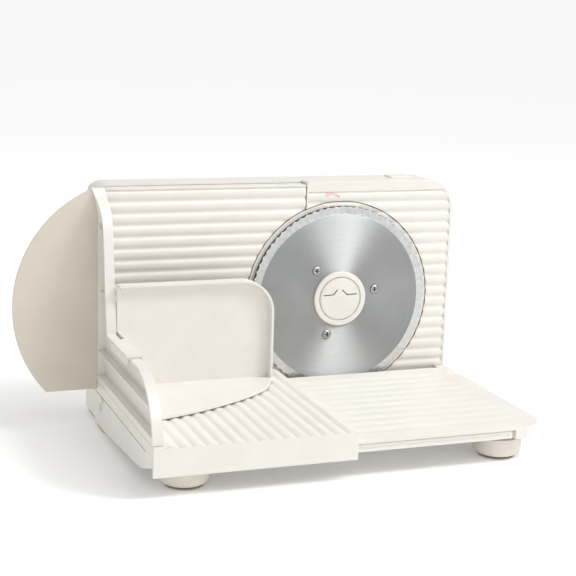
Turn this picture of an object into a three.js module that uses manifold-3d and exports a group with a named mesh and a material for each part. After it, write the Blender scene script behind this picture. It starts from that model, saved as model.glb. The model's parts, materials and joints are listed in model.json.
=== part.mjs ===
// Electric meat slicer with a folding table, in millimetres, +Z up.
// X = 0 is the middle of the housing and +X its right side. Y = 0 is the ribbed face that the
// food slides along, with the table towards -Y. Z = 0 is the surface that the slicer stands on.
import * as THREE from 'three';
import { mergeVertices } from 'three/addons/utils/BufferGeometryUtils.js';
import Module from 'manifold-3d';

const wasm = await Module();
wasm.setup();

// Clearances and counts shared by all pieces
const gap = 0.3;
const over = 3;
const weld = 0.0001;
const wideFacets = 72;
const midFacets = 24;
const smallFacets = 12;
const tinyFacets = 8;

// Housing: the front frame and the rear shell share one outline
const body = {
  halfWidth: 188, top: 232.5, bottom: 4, wall: 2.5, panel: 3, frameBack: 38,
  cornerRight: 30, cornerLeft: 17, cornerFoot: 5, ribBorder: 2.7, sillTop: 34.5
};
const ribs = { depth: 1.7, frameValley: 222.2, framePitch: 11.25, gaugeValley: 228, gaugePitch: 11.4 };

// Gauge plate: the ribbed plate left of the blade, drawn back to set the slice
const gauge = {
  travel: 15, plate: 3, rightEdge: 26, flangeShown: 14.5, flangeLap: 3, flange: 2.2,
  stemRadius: 5.5, stemSpread: 38, guideWall: 2.5, guideLength: 6
};
const slide = { thick: 6, reach: 8, ringWall: 6, screwRadius: 1.5, headRadius: 3.2, head: 2, bite: 12 };

// Thickness dial and its barrel cam, one turn of the groove moves the plate by the pitch
const dial = {
  x: -85, z: 118, radius: 21, base: 4, finThick: 8, finOut: 17.5, scoopRadius: 30,
  scoopFloorRadius: 24, scoopDepth: 6, journal: 7, camRadius: 11, camPitch: 18,
  grooveRadius: 2.4, pinRadius: 1.5, pinDepth: 1.3, frontJournal: 5, frontSeat: 4
};

// Blade, hub and drive
const blade = {
  x: 63.5, z: 113.5, radius: 95, front: -4, thick: 1.4, bevel: 7, edgeSet: 1, teeth: 120,
  toothDepth: 1.2, bore: 24, screwCircle: 39, screwHole: 2.2
};
const screwAngles = [11.5, 131.5, 251.5];
const well = { radius: 99, floor: 6, floorThick: 2.4 };
const hub = { flangeRadius: 28, flange: 2, capRadius: 22, capProud: 0.3, floor: 1.8, bore: 12 };
const lock = { stemRadius: 7, earReach: 10.3, earWidth: 5.5, ear: 3 };
const carrier = {
  radius: 46, disc: 3, hubRadius: 15, hubBack: 12, cavityRadius: 10.8, keyFloor: 3.2,
  bossRadius: 4.5, bossBack: 4.5
};
const bladeScrew = { shank: 1.9, headRadius: 4.25, head: 1.6, crownShare: 0.7, slot: 1.1, slotDepth: 0.8 };
const axle = { radius: 5, back: 54, bushRadius: 9, bushBack: 30, tubeWall: 3, cupWall: 2.5, cupClear: 2 };
const gear = {
  teeth: 40, module: 1.5, front: 34, width: 10, hubRadius: 10, addendumShare: 0.85,
  dedendumShare: 1.2, toothShare: 0.38, tipShare: 0.24, rootShare: 0.56, bossBack: 46
};
const worm = {
  pitchRadius: 7, thread: 20, core: 24, shaftRadius: 2.5, threadShare: 0.38, tipShare: 0.24,
  rootShare: 0.56, addendumShare: 0.85, dedendumShare: 1.2, sunkShare: 0.7
};
const motor = {
  radius: 17, length: 55, front: 5, nose: 3.4, noseRadius: 5.5, shaftSeat: 9, boss: 4, bossLength: 4
};
const bracket = {
  thick: 2.5, half: 17.5, foot: 12, front: 21.3, screwRadius: 1.5, headRadius: 3, head: 2.2,
  screwSpreadShare: 0.7
};
const bearing = { width: 8, half: 7.5, endPlay: 5, above: 6.5 };

// Power button on the top, its spring and the switch under it
const button = {
  fromSide: 52, y: 27, halfX: 12, halfY: 8.75, corner: 4, proud: 1.8, domeRim: 0.8, travel: 2.5,
  flange: 1.2, flangeThick: 2.8, stemRadius: 3
};
const switchBox = { halfX: 13, halfY: 7, height: 16, below: 9, plungerHole: 1.2 };
const spring = { inner: 3.6, outer: 4.8 };
const board = { fromSide: 68, fromTop: 42.5, halfX: 24, halfZ: 16, thick: 1.6, post: 2.5, postHeight: 3, part: 8 };

// Rear shell: depth of its back at three heights, shown by the leaning rear edge
const rear = {
  depthLow: 62.8, lowTo: 82, depthMid: 58.6, midAt: 150, depthHigh: 54.5, highAt: 190,
  depthTop: 48, topAt: 222, depthCrown: 43.5, footDepth: 53, footRise: 12, sideDraw: 14,
  bossRadius: 7, headBore: 4.6, screwSeat: 44
};
const housingScrew = { screwRadius: 2, hole: 2.3, headRadius: 4, head: 2.6, bite: 18, boss: 5.5,
  inset: 17 };
const gland = { fromSide: 38, z: 40, radius: 6, flangeRadius: 9, flange: 2.5, out: 12, dimple: 3.2 };

// Ears, pads and the table's hinge
const hinge = { y: -25.5, z: 23.5, earWidth: 11, earRound: 11, pinRadius: 3, lugRadius: 8, lug: 6 };
const pad = { thick: 3.7, rearFrom: 17.5, rearTo: 45, length: 36, inset: 4, earFrom: -33, earTo: -7 };

// Table
const table = {
  rearEdge: -9, front: -214.5, top: 34.5, plate: 2.5, wall: 2.5, corner: 25, rearBottom: 15.5,
  sideRear: 4, sideMid: 9, sideMidAt: -105, sideFore: 14.4, sideForeAt: -177, frontBottom: 22.7,
  frontBottomAt: -204, lip: 3.3, recessDepth: 4.5, ribDepth: 1.2, ribPitch: 17.2,
  ribFirst: -17, ribBorder: 4, frontBand: 8
};
const guideBar = { half: 152, endGap: 3, thick: 3.2, bottom: 23.3, top: 30.6 };
const foot = {
  fromSide: 36.5, fromFront: 28.5, radius: 23, lower: 21, height: 14.4, neck: 17, cup: 5.5, cupRadius: 17,
  cupNeck: 9, cupHollow: 12, cupDepth: 2.5
};

// Carriage: tray, end wall, blade guard
const tray = {
  sideGap: 0.5, right: -3, rear: -6, front: -218, crest: 45, plate: 4, wall: 2.5, skirtBottom: 18.6,
  ribPitch: 11.6, ribDepth: 2.2, wallStrip: 10.5, stroke: 170, hookBottom: 24, hookTop: 30
};
const endWall = {
  thick: 9.4, skin: 1.8, rim: 2.4, rear: -9.8, head: -3.1, headFrom: 225, top: 231.9, rail: 100,
  railEnd: -156, front: -214.2, uprightDepth: 38.8, flangeTop: 52, midRib: 75
};
const guard = {
  fromTray: 41, z: 119, radius: 121.5, thick: 2.2, bottom: 37.5, screwRadius: 1.4,
  screwLength: 7, headRadius: 2.8, head: 1.4, screwPitch: 60
};
const wallScrew = { screwRadius: 1, headRadius: 1.9, head: 1.4, bite: 5, foreAt: -160, rearAt: -60 };

// Pusher
const pusher = {
  fromTray: 10.4, right: -24, plateFront: -45, plate: 2.5, rimFront: -52, rim: 2.5, top: 147,
  corner: 33, shelfTop: 49, shelfBottom: 45.7, saddleRear: -75, saddleFront: -135, saddle: 2.2,
  lip: 9, shelfFront: -154
};

// Points and outlines

// Rounds the corners of a closed outline; each corner is [a, b, radius]
function rounded(corners, quarterSteps = 4) {
  const points = [];
  corners.forEach(([a, b, radius = 0], i) => {
    const here = new THREE.Vector2(a, b);
    const before = corners.at(i - 1);
    const after = corners[(i + 1) % corners.length];
    const back = new THREE.Vector2(before[0], before[1]).sub(here);
    const on = new THREE.Vector2(after[0], after[1]).sub(here);
    const room = Math.min(back.length(), on.length()) / 2;
    back.normalize();
    on.normalize();
    const angle = Math.acos(THREE.MathUtils.clamp(back.dot(on), -1, 1));
    const reach = Math.min(radius / Math.tan(angle / 2), room);
    if (radius === 0 || Math.PI - angle < 0.01) {
      points.push([a, b]);
      return;
    }
    const size = reach * Math.tan(angle / 2);
    const centre = back.clone().add(on).normalize().multiplyScalar(size / Math.sin(angle / 2)).add(here);
    const start = here.clone().addScaledVector(back, reach).sub(centre);
    const end = here.clone().addScaledVector(on, reach).sub(centre);
    const turn = Math.atan2(start.cross(end), start.dot(end));
    const steps = Math.max(1, Math.round(Math.abs(turn) / (Math.PI / 2) * quarterSteps));
    for (let k = 0; k <= steps; k += 1) {
      const spoke = start.clone().rotateAround(new THREE.Vector2(), turn * k / steps).add(centre);
      points.push([spoke.x, spoke.y]);
    }
  });
  return points;
}

// Points on an arc about [a, b], angles in degrees
function arc(a, b, radiusA, radiusB, from, to, steps) {
  const points = [];
  for (let k = 0; k <= steps; k += 1) {
    const angle = THREE.MathUtils.degToRad(from + (to - from) * k / steps);
    points.push([a + radiusA * Math.cos(angle), b + radiusB * Math.sin(angle)]);
  }
  return points;
}

// One face of ribs as [depth, along] pairs, with wide crests and narrow valleys.
// The shares are places along one rib, each with its share of the valley's depth.
const ribShares = [[0, 1], [0.16, 0], [0.84, 0]];
function ribWave(first, pitch, count, depth) {
  const points = [];
  for (let k = 0; k < count; k += 1) {
    for (const [share, fall] of ribShares) points.push([depth * fall, first + pitch * (k + share)]);
  }
  points.push([depth, first + pitch * count]);
  return points;
}

// Solids

function toSolid(geometry) {
  geometry.deleteAttribute('uv');
  geometry.deleteAttribute('normal');
  const merged = mergeVertices(geometry, weld);
  const index = merged.getIndex().array;
  const triangles = [];
  for (let i = 0; i < index.length; i += 3) {
    const [a, b, c] = [index[i], index[i + 1], index[i + 2]];
    if (a !== b && b !== c && a !== c) triangles.push(a, b, c);
  }
  return new wasm.Manifold(new wasm.Mesh({
    numProp: 3,
    vertProperties: Float32Array.from(merged.getAttribute('position').array),
    triVerts: Uint32Array.from(triangles)
  }));
}

const unitX = new THREE.Vector3(1, 0, 0);
const unitY = new THREE.Vector3(0, 1, 0);
const unitZ = new THREE.Vector3(0, 0, 1);
const bases = {
  x: new THREE.Matrix4().makeBasis(unitY, unitZ, unitX),
  y: new THREE.Matrix4().makeBasis(unitX, unitZ, unitY.clone().negate()),
  z: new THREE.Matrix4()
};

// An outline swept along an axis; its points are (y, z), (x, z) or (x, y) for x, y or z
function prism(axis, points, from, to) {
  const shape = new THREE.Shape(points.map(([a, b]) => new THREE.Vector2(a, b)));
  const geometry = new THREE.ExtrudeGeometry(shape, { depth: to - from, bevelEnabled: false });
  geometry.translate(0, 0, axis === 'y' ? -to : from);
  geometry.applyMatrix4(bases[axis]);
  return toSolid(geometry);
}

function box(x0, x1, y0, y1, z0, z1) {
  const geometry = new THREE.BoxGeometry(x1 - x0, y1 - y0, z1 - z0);
  geometry.translate((x0 + x1) / 2, (y0 + y1) / 2, (z0 + z1) / 2);
  return toSolid(geometry);
}

function turnedArea(profile) {
  let sum = 0;
  profile.forEach(([r, h], i) => {
    const [nextR, nextH] = profile[(i + 1) % profile.length];
    sum += r * nextH - nextR * h;
  });
  return sum;
}

// A [radius, height] profile turned about an axis through centre, which is written as in prism
function turned(axis, centre, profile, facets) {
  const ordered = turnedArea(profile) > 0 ? [...profile] : [...profile].reverse();
  while (ordered[0][0] === 0 && ordered.at(-1)[0] !== 0) ordered.push(ordered.shift());
  const solidCore = ordered.some(([r]) => r === 0);
  if (solidCore) {
    while (ordered[0][0] !== 0 || ordered.at(-1)[0] !== 0) ordered.push(ordered.shift());
  } else {
    ordered.push(ordered[0]);
  }
  const geometry = new THREE.LatheGeometry(ordered.map(([r, h]) => new THREE.Vector2(r, h)), facets);
  if (axis === 'z') geometry.rotateX(Math.PI / 2);
  if (axis === 'x') geometry.rotateZ(-Math.PI / 2);
  if (axis === 'x') geometry.translate(0, centre[0], centre[1]);
  if (axis === 'y') geometry.translate(centre[0], 0, centre[1]);
  if (axis === 'z') geometry.translate(centre[0], centre[1], 0);
  return toSolid(geometry);
}

function rod(axis, centre, radius, from, to, facets = smallFacets) {
  return turned(axis, centre, [[0, from], [radius, from], [radius, to], [0, to]], facets);
}

function ring(axis, centre, inner, outer, from, to, facets = midFacets) {
  return turned(axis, centre, [[inner, from], [outer, from], [outer, to], [inner, to]], facets);
}

function joined(parts) {
  return parts.reduce((whole, part) => whole.add(part));
}

function toGeometry(solid) {
  const mesh = solid.getMesh();
  const geometry = new THREE.BufferGeometry();
  geometry.setAttribute('position', new THREE.BufferAttribute(Float32Array.from(mesh.vertProperties), 3));
  geometry.setIndex(new THREE.BufferAttribute(Uint32Array.from(mesh.triVerts), 1));
  geometry.computeVertexNormals();
  return geometry;
}

const finishes = {
  ivory: { color: 0xf1e8da, roughness: 0.42, metalness: 0 },
  steel: { color: 0xc3c5c6, roughness: 0.3, metalness: 1 },
  rubber: { color: 0xd9d2c4, roughness: 0.8, metalness: 0 },
  dark: { color: 0x2b2b2b, roughness: 0.6, metalness: 0 },
  white: { color: 0xf6f4ee, roughness: 0.5, metalness: 0 },
  brass: { color: 0xb08d4a, roughness: 0.35, metalness: 1 },
  green: { color: 0x2f6b45, roughness: 0.6, metalness: 0 }
};

const slicer = new THREE.Group();
function place(name, solid, finish, parent = slicer) {
  const mesh = new THREE.Mesh(toGeometry(solid), new THREE.MeshStandardMaterial(finishes[finish]));
  mesh.name = name;
  parent.add(mesh);
}

// Housing outline, seen from the front and drawn in by inset
function housingOutline(inset) {
  const side = body.halfWidth - inset;
  const footCorner = Math.max(body.cornerFoot - inset, 0);
  return rounded([
    [-side, body.bottom + inset, footCorner],
    [side, body.bottom + inset, footCorner],
    [side, body.top - inset, body.cornerRight - inset],
    [-side, body.top - inset, body.cornerLeft - inset]
  ], 6);
}

const boardX = -body.halfWidth + board.fromSide;
const boardZ = body.top - board.fromTop;
const buttonX = body.halfWidth - button.fromSide;
const glandX = body.halfWidth - gland.fromSide;
const trayLeft = -body.halfWidth + tray.sideGap;
const guardX = trayLeft + guard.fromTray;
const pusherLeft = trayLeft + pusher.fromTray;
const bladeCentre = [blade.x, blade.z];
const dialCentre = [dial.x, dial.z];
const innerFace = gauge.travel + gauge.plate + 2 * gap;
const innerBack = innerFace + body.wall;
const carrierFront = blade.front + blade.thick + gap;
const wormZ = blade.z - gear.teeth * gear.module / 2 - worm.pitchRadius;
const wormY = gear.front + gear.width / 2;
const wormCentre = [wormY, wormZ];
const stemCentres = [-1, 1].map((side) => [dial.x + side * gauge.stemSpread, dial.z]);
const housingScrewCentres = [
  [-body.halfWidth + housingScrew.inset, body.bottom + housingScrew.inset],
  [body.halfWidth - housingScrew.inset, body.bottom + housingScrew.inset],
  [body.halfWidth - housingScrew.inset, body.top - 2 * housingScrew.inset],
  [-body.halfWidth + housingScrew.inset, body.top - 2 * housingScrew.inset]
];
const bracketX = motor.front + gap;
const bracketScrewX = bracketX + bracket.thick + bracket.foot / 2;
const bracketScrewCentres = [-1,
  1].map((side) => [bracketScrewX, wormZ + side * bracket.half * bracket.screwSpreadShare]);
const switchTop = body.top - body.wall - switchBox.below;
const switchBottom = switchTop - switchBox.height;
const boardPosts = [[-1, -1], [-1, 1], [1, -1], [1, 1]].map(([u, v]) => [
  boardX + u * (board.halfX - board.post), boardZ + v * (board.halfZ - board.post)
]);

// Front frame

function ribbedCut(first, pitch, count, from, to) {
  const wave = ribWave(first, pitch, count, ribs.depth);
  const low = wave[0][1];
  const high = wave.at(-1)[1];
  return prism('x', [[-over, low], ...wave, [-over, high]], from, to);
}

function buildFrame() {
  const side = body.halfWidth;
  let frame = prism('y', housingOutline(0), 0, body.frameBack);
  // The left part starts behind the gauge plate's shown flange, above the sill
  frame = frame.subtract(box(-side - over, gauge.rightEdge, -over, gauge.flangeShown, body.sillTop,
    body.top + over));
  const inside = housingOutline(body.wall);
  const plateSpace = box(-side, gauge.rightEdge, -over, innerFace, body.sillTop, body.top);
  frame = frame.subtract(prism('y', inside, -over, innerFace).intersect(plateSpace));
  // Rear hollow, then the hollows behind the right panel and behind the sill
  const hollow = prism('y', inside, body.panel, body.frameBack + over);
  const behindRight = box(gauge.rightEdge + body.wall, side, 0, innerBack + over, body.bottom, body.top);
  const behindSill = box(-side, side, 0, innerBack + over, body.bottom, body.sillTop - body.wall);
  const behindInner = box(-side, side, innerBack, body.frameBack + over, body.bottom, body.top);
  frame = frame.subtract(hollow.intersect(joined([behindRight, behindSill, behindInner])));
  // Slots in the inner wall for the gauge plate's flanges
  const flangeInside = housingOutline(body.wall + gauge.flange + 3 * gap);
  const slots = prism('y', inside, innerFace - gap, innerBack + gap)
    .subtract(prism('y', flangeInside, 0, body.frameBack))
    .intersect(box(-side, gauge.rightEdge, 0, body.frameBack, body.sillTop, body.top));
  frame = frame.subtract(slots);
  // Round well for the blade, and the drum that carries its floor behind the gauge plate
  const floorBack = well.floor + well.floorThick;
  const wellWall = rod('y', bladeCentre, well.radius + body.wall, 0, floorBack, wideFacets)
    .subtract(box(-side, gauge.rightEdge, -over, floorBack + over, body.sillTop, body.top));
  const drum = rod('y', bladeCentre, well.radius - gap, well.floor, innerBack, wideFacets);
  frame = joined([frame, wellWall, drum]);
  frame = frame.subtract(rod('y', bladeCentre, well.radius, -over, well.floor, wideFacets));
  const drumInside = well.radius - gap - body.wall;
  frame = frame.subtract(rod('y', bladeCentre, drumInside, floorBack, innerBack + over, wideFacets));
  // Cup for the carrier's hub and the tube that holds the bush
  const cupInner = carrier.hubRadius + axle.cupClear;
  const cupFloor = carrier.hubBack + 2 * gap;
  const bushBore = axle.bushRadius + gap;
  frame = frame.add(rod('y', bladeCentre, cupInner + axle.cupWall, well.floor, cupFloor + axle.cupWall,
    midFacets));
  frame = frame.add(rod('y', bladeCentre, bushBore + axle.tubeWall, well.floor, axle.bushBack, midFacets));
  frame = frame.subtract(rod('y', bladeCentre, cupInner, -over, cupFloor, midFacets));
  frame = frame.subtract(rod('y', bladeCentre, bushBore, -over, axle.bushBack + over, midFacets));
  // Posts for the motor bracket
  for (const centre of bracketScrewCentres) {
    frame = frame.add(rod('y', centre, bracket.screwRadius * 3, well.floor + gap, bracket.front - gap));
    frame = frame.subtract(rod('y', centre, bracket.screwRadius + gap, floorBack + gap,
      bracket.front + over));
  }
  // Guides for the gauge plate's stems, the seat of the cam's front journal
  for (const centre of stemCentres) {
    const bore = gauge.stemRadius + gap;
    frame = frame.add(rod('y', centre, bore + gauge.guideWall, innerFace + gap,
      innerBack + gauge.guideLength, midFacets));
    frame = frame.subtract(rod('y', centre, bore, 0, body.frameBack + over, midFacets));
  }
  const seatBore = dial.frontJournal + gap;
  frame = frame.add(rod('y', dialCentre, seatBore + body.wall, innerFace + gap,
    innerBack + dial.frontSeat));
  frame = frame.subtract(rod('y', dialCentre, seatBore, innerBack, body.frameBack + over));
  // Bosses for the housing screws, and posts for the control board
  for (const centre of housingScrewCentres) {
    frame = frame.add(rod('y', centre, housingScrew.boss, innerFace + gap, body.frameBack));
    frame = frame.subtract(rod('y', centre, housingScrew.hole, innerBack + gap, body.frameBack + over));
  }
  for (const centre of boardPosts) {
    frame = frame.add(rod('y', centre, board.post, innerFace + gap, innerBack + board.postHeight,
      tinyFacets));
  }
  // Shelf for the power switch and the button's window
  const shelfY0 = button.y - switchBox.halfY - body.wall;
  frame = frame.add(box(
    buttonX - switchBox.halfX - body.wall, buttonX + switchBox.halfX + body.wall,
    body.panel - gap, Math.min(button.y + switchBox.halfY, body.frameBack),
    switchBottom - body.wall - gap, switchBottom - gap
  ));
  frame = frame.add(box(
    buttonX - switchBox.halfX, buttonX + switchBox.halfX, shelfY0, shelfY0 + body.wall - gap,
    switchBottom - body.wall, switchTop
  ));
  frame = frame.subtract(prism('z', buttonOutline(gap), body.top - body.wall - over, body.top + over));
  // Screw bosses of the right panel reach the panel itself
  for (const centre of [housingScrewCentres[1], housingScrewCentres[2]]) {
    frame = frame.add(rod('y', centre, housingScrew.boss, body.panel - gap, innerFace + 2 * gap));
  }
  frame = frame.add(rod('y', housingScrewCentres[0], housingScrew.boss, body.panel - gap,
    innerFace + 2 * gap));
  // Ribs right of the blade, ending just inside the rim
  const panelRibs = Math.floor((ribs.frameValley - body.sillTop) / ribs.framePitch) + 1;
  const ribStart = ribs.frameValley - panelRibs * ribs.framePitch;
  const cut = ribbedCut(ribStart, ribs.framePitch, panelRibs, gauge.rightEdge + ribs.depth, side)
    .intersect(prism('y', housingOutline(body.ribBorder), -over, body.panel));
  frame = frame.subtract(cut);
  return frame;
}

function buttonOutline(margin) {
  const x = button.halfX + margin;
  const y = button.halfY + margin;
  return rounded([
    [buttonX - x, button.y - y, button.corner + margin],
      [buttonX + x, button.y - y, button.corner + margin],
    [buttonX + x, button.y + y, button.corner + margin],
      [buttonX - x, button.y + y, button.corner + margin]
  ], 3);
}

place('front_frame', buildFrame(), 'ivory');

// Ears on the front of the sill, which carry the table's hinge

function buildEar(near) {
  const front = hinge.y - hinge.earRound;
  const side = rounded([
    [-gap, body.bottom], [-gap, body.sillTop],
    [front, body.sillTop, hinge.earRound], [front, body.bottom, body.wall]
  ], 6);
  const far = near + hinge.earWidth;
  return prism('x', side, near, far)
    .subtract(rod('x', [hinge.y, hinge.z], hinge.pinRadius + gap, near - over, far + over, midFacets));
}

place('hinge_ear_left', buildEar(-body.halfWidth), 'ivory');
place('hinge_ear_right', buildEar(body.halfWidth - hinge.earWidth), 'ivory');

// Rear shell

function rearSolid(inset, from) {
  const sideways = [
    [from, body.bottom + inset],
    [rear.footDepth - inset, body.bottom + inset],
    [rear.depthLow - inset, body.bottom + rear.footRise + inset],
    [rear.depthLow - inset, rear.lowTo],
    [rear.depthMid - inset, rear.midAt],
    [rear.depthHigh - inset, rear.highAt],
    [rear.depthTop - inset, rear.topAt - inset],
    [rear.depthCrown - inset, body.top - inset],
    [from, body.top - inset]
  ];
  const seam = body.frameBack + gap;
  const plan = [
    [-body.halfWidth + inset, from], [body.halfWidth - inset, from], [body.halfWidth - inset, seam],
    [body.halfWidth - rear.sideDraw - inset, rear.depthLow],
      [-body.halfWidth + rear.sideDraw + inset, rear.depthLow],
    [-body.halfWidth + inset, seam]
  ];
  return prism('x', sideways, -body.halfWidth, body.halfWidth)
    .intersect(prism('y', housingOutline(inset), from, rear.depthLow))
    .intersect(prism('z', plan, body.bottom, body.top));
}

// Depth of the rear shell's outer face at a height above its lowest third
function rearDepthAt(z) {
  const marks = [
    [body.bottom + rear.footRise, rear.depthLow], [rear.lowTo, rear.depthLow], [rear.midAt, rear.depthMid],
    [rear.highAt, rear.depthHigh], [rear.topAt, rear.depthTop], [body.top, rear.depthCrown]
  ];
  const next = Math.max(1, marks.findIndex(([height]) => height >= z));
  const [z0, y0] = marks[next - 1];
  const [z1, y1] = marks[next];
  return y0 + (y1 - y0) * (z - z0) / (z1 - z0);
}

const dialFace = rearDepthAt(dial.z);
const scoopFloor = dialFace - dial.scoopDepth;

function buildRear() {
  const seam = body.frameBack + gap;
  const outer = rearSolid(0, seam);
  let shell = outer.subtract(rearSolid(body.wall, seam - over));
  // Scoop round the dial
  const scoop = (grow) => turned('y', dialCentre, [
    [0, scoopFloor - grow], [dial.scoopFloorRadius + grow, scoopFloor - grow],
    [dial.scoopRadius + grow, dialFace + over], [0, dialFace + over]
  ], midFacets);
  shell = shell.add(scoop(body.wall).intersect(outer)).subtract(scoop(0));
  shell = shell.subtract(rod('y', dialCentre, dial.journal + gap, seam, rear.depthLow + over, midFacets));
  // Screw towers
  for (const centre of housingScrewCentres) {
    shell = shell.add(rod('y', centre, rear.bossRadius, seam, rear.depthLow).intersect(outer));
    shell = shell.subtract(rod('y', centre, housingScrew.hole, seam - over, rear.depthLow));
    shell = shell.subtract(rod('y', centre, rear.headBore, rear.screwSeat, rear.depthLow + over));
  }
  // Rear bearing of the blade's shaft
  const tube = rod('y', bladeCentre, axle.radius + gap + body.wall, gear.bossBack, rearDepthAt(blade.z),
    midFacets);
  shell = shell.add(tube.intersect(outer));
  shell = shell.subtract(rod('y', bladeCentre, axle.radius + gap, gear.bossBack - over, axle.back + gap,
    midFacets));
  return shell.subtract(rod('y', [glandX, gland.z], gland.radius + gap, seam, rear.depthLow + over));
}

place('rear_housing', buildRear(), 'ivory');

// A screw along an axis: its head stands on the seat and its shank runs back from it by length
function screw(axis, centre, sizes, seat, length) {
  const way = Math.sign(length);
  const shankEnds = [seat - length, seat + way * gap].sort((a, b) => a - b);
  const headEnds = [seat, seat + way * sizes.head].sort((a, b) => a - b);
  return rod(axis, centre, sizes.screwRadius, ...shankEnds, tinyFacets)
    .add(rod(axis, centre, sizes.headRadius, ...headEnds, tinyFacets));
}

housingScrewCentres.forEach((centre, i) => {
  const solid = screw('y', centre, housingScrew, rear.screwSeat + gap, housingScrew.bite);
  place(`housing_screw_${i + 1}`, solid, 'steel');
});

function buildGland() {
  const centre = [glandX, gland.z];
  const face = rear.depthLow + gap;
  const inner = face - body.wall - 2 * gap;
  return joined([
    rod('y', centre, gland.radius, inner - gland.flange, face + gland.out),
    rod('y', centre, gland.flangeRadius, face, face + gland.flange),
    rod('y', centre, gland.flangeRadius, inner - gland.flange, inner)
  ]).subtract(rod('y', centre, gland.dimple, face + gland.out - gland.flange, face + gland.out + over));
}

place('cord_gland', buildGland(), 'white');

// Pads under the housing and under the ears

for (const [side, sign] of [['left', -1], ['right', 1]]) {
  const outer = sign * (body.halfWidth - pad.inset);
  const inner = outer - sign * pad.length;
  place(`rear_pad_${side}`, box(
    Math.min(outer, inner), Math.max(outer, inner), pad.rearFrom, pad.rearTo, 0, pad.thick
  ), 'rubber');
  const earOut = sign * (body.halfWidth - body.wall / 2);
  const earIn = sign * (body.halfWidth - hinge.earWidth + body.wall / 2);
  place(`ear_pad_${side}`, box(
    Math.min(earOut, earIn), Math.max(earOut, earIn), pad.earFrom, pad.earTo, 0, pad.thick
  ), 'rubber');
}

// Gauge plate with its stems, slide, follower and screws

function buildGaugePlate() {
  const inset = body.wall + gap;
  const outline = housingOutline(inset);
  const right = gauge.rightEdge - gap;
  const bottom = body.sillTop + gap;
  const flangeBack = gauge.flangeShown + gauge.flangeLap;
  const region = box(-body.halfWidth, right, -over, body.frameBack, bottom, body.top);
  let plate = prism('y', outline, 0, gauge.plate).intersect(region);
  const skirt = prism('y', outline, 0, flangeBack)
    .subtract(prism('y', housingOutline(inset + gauge.flange), -over, flangeBack + over))
    .intersect(region);
  plate = plate.add(skirt);
  for (const centre of stemCentres) {
    plate = plate.add(rod('y', centre, gauge.stemRadius, gauge.plate / 2, slideFront - gap, midFacets));
    plate = plate.subtract(rod('y', centre, slide.screwRadius + gap, slideFront - slide.bite,
      slideFront + over));
  }
  const count = Math.floor((ribs.gaugeValley - bottom) / ribs.gaugePitch) + 1;
  const cut = ribbedCut(ribs.gaugeValley - count * ribs.gaugePitch, ribs.gaugePitch, count,
    -body.halfWidth, right);
  return plate.subtract(cut).subtract(rod('y', bladeCentre, well.radius + gap, -over, body.frameBack,
    wideFacets));
}

const slideFront = innerBack + gauge.guideLength + 2 * gap;
place('gauge_plate', buildGaugePlate(), 'ivory');

const slideBack = slideFront + slide.thick;
const pinY = (slideFront + slideBack) / 2;
const pinTip = dial.camRadius - dial.pinDepth;
const slideRing = dial.camRadius + slide.ringWall;

function buildSlide() {
  const half = gauge.stemSpread + slide.reach;
  let bar = prism('y', rounded([
    [dial.x - half, dial.z - slide.reach, slide.reach], [dial.x + half, dial.z - slide.reach, slide.reach],
    [dial.x + half, dial.z + slide.reach, slide.reach], [dial.x - half, dial.z + slide.reach, slide.reach]
  ]), slideFront, slideBack);
  bar = bar.add(rod('y', dialCentre, slideRing, slideFront, slideBack, midFacets));
  bar = bar.subtract(rod('y', dialCentre, dial.camRadius + 2 * gap, slideFront - over, slideBack + over,
    midFacets));
  for (const centre of stemCentres) {
    bar = bar.subtract(rod('y', centre, slide.screwRadius + gap, slideFront - over, slideBack + over));
  }
  return bar.subtract(rod('z', [dial.x, pinY], dial.pinRadius + gap, dial.z, dial.z + slideRing + over));
}

place('gauge_slide', buildSlide(), 'white');
place('follower_pin', rod('z', [dial.x, pinY], dial.pinRadius, dial.z + pinTip, dial.z + slideRing),
  'steel');
stemCentres.forEach((centre, i) => {
  const solid = screw('y', centre, slide, slideBack + gap, slide.thick + slide.bite - 2 * gap);
  place(`slide_screw_${i + 1}`, solid, 'steel');
});

// Cam shaft with its helical groove, and the dial

function buildCamShaft() {
  const seat = innerBack + gap;
  const barrelFront = innerBack + dial.frontSeat + gap;
  const barrelBack = scoopFloor - body.wall - gap;
  const end = scoopFloor + gap + dial.base - gap;
  const shaft = turned('y', dialCentre, [
    [0, seat], [dial.frontJournal, seat], [dial.frontJournal, barrelFront], [dial.camRadius, barrelFront],
    [dial.camRadius, barrelBack], [dial.journal, barrelBack], [dial.journal, end], [0, end]
  ], midFacets);
  // The groove passes under the follower, straight up at rest, and climbs to the back
  const turns = gauge.travel / dial.camPitch;
  const spare = 0.04;
  const steps = 30;
  const points = [];
  for (let k = 0; k <= steps; k += 1) {
    const turn = -spare + (turns + 2 * spare) * k / steps;
    const angle = Math.PI / 2 + 2 * Math.PI * turn;
    const y = pinY + dial.camPitch * THREE.MathUtils.clamp(turn, 0, turns);
    points.push(new THREE.Vector3(
      dial.x + dial.camRadius * Math.cos(angle), y, dial.z + dial.camRadius * Math.sin(angle)
    ));
  }
  return shaft.subtract(tube(points, dial.grooveRadius, tinyFacets));
}

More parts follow.
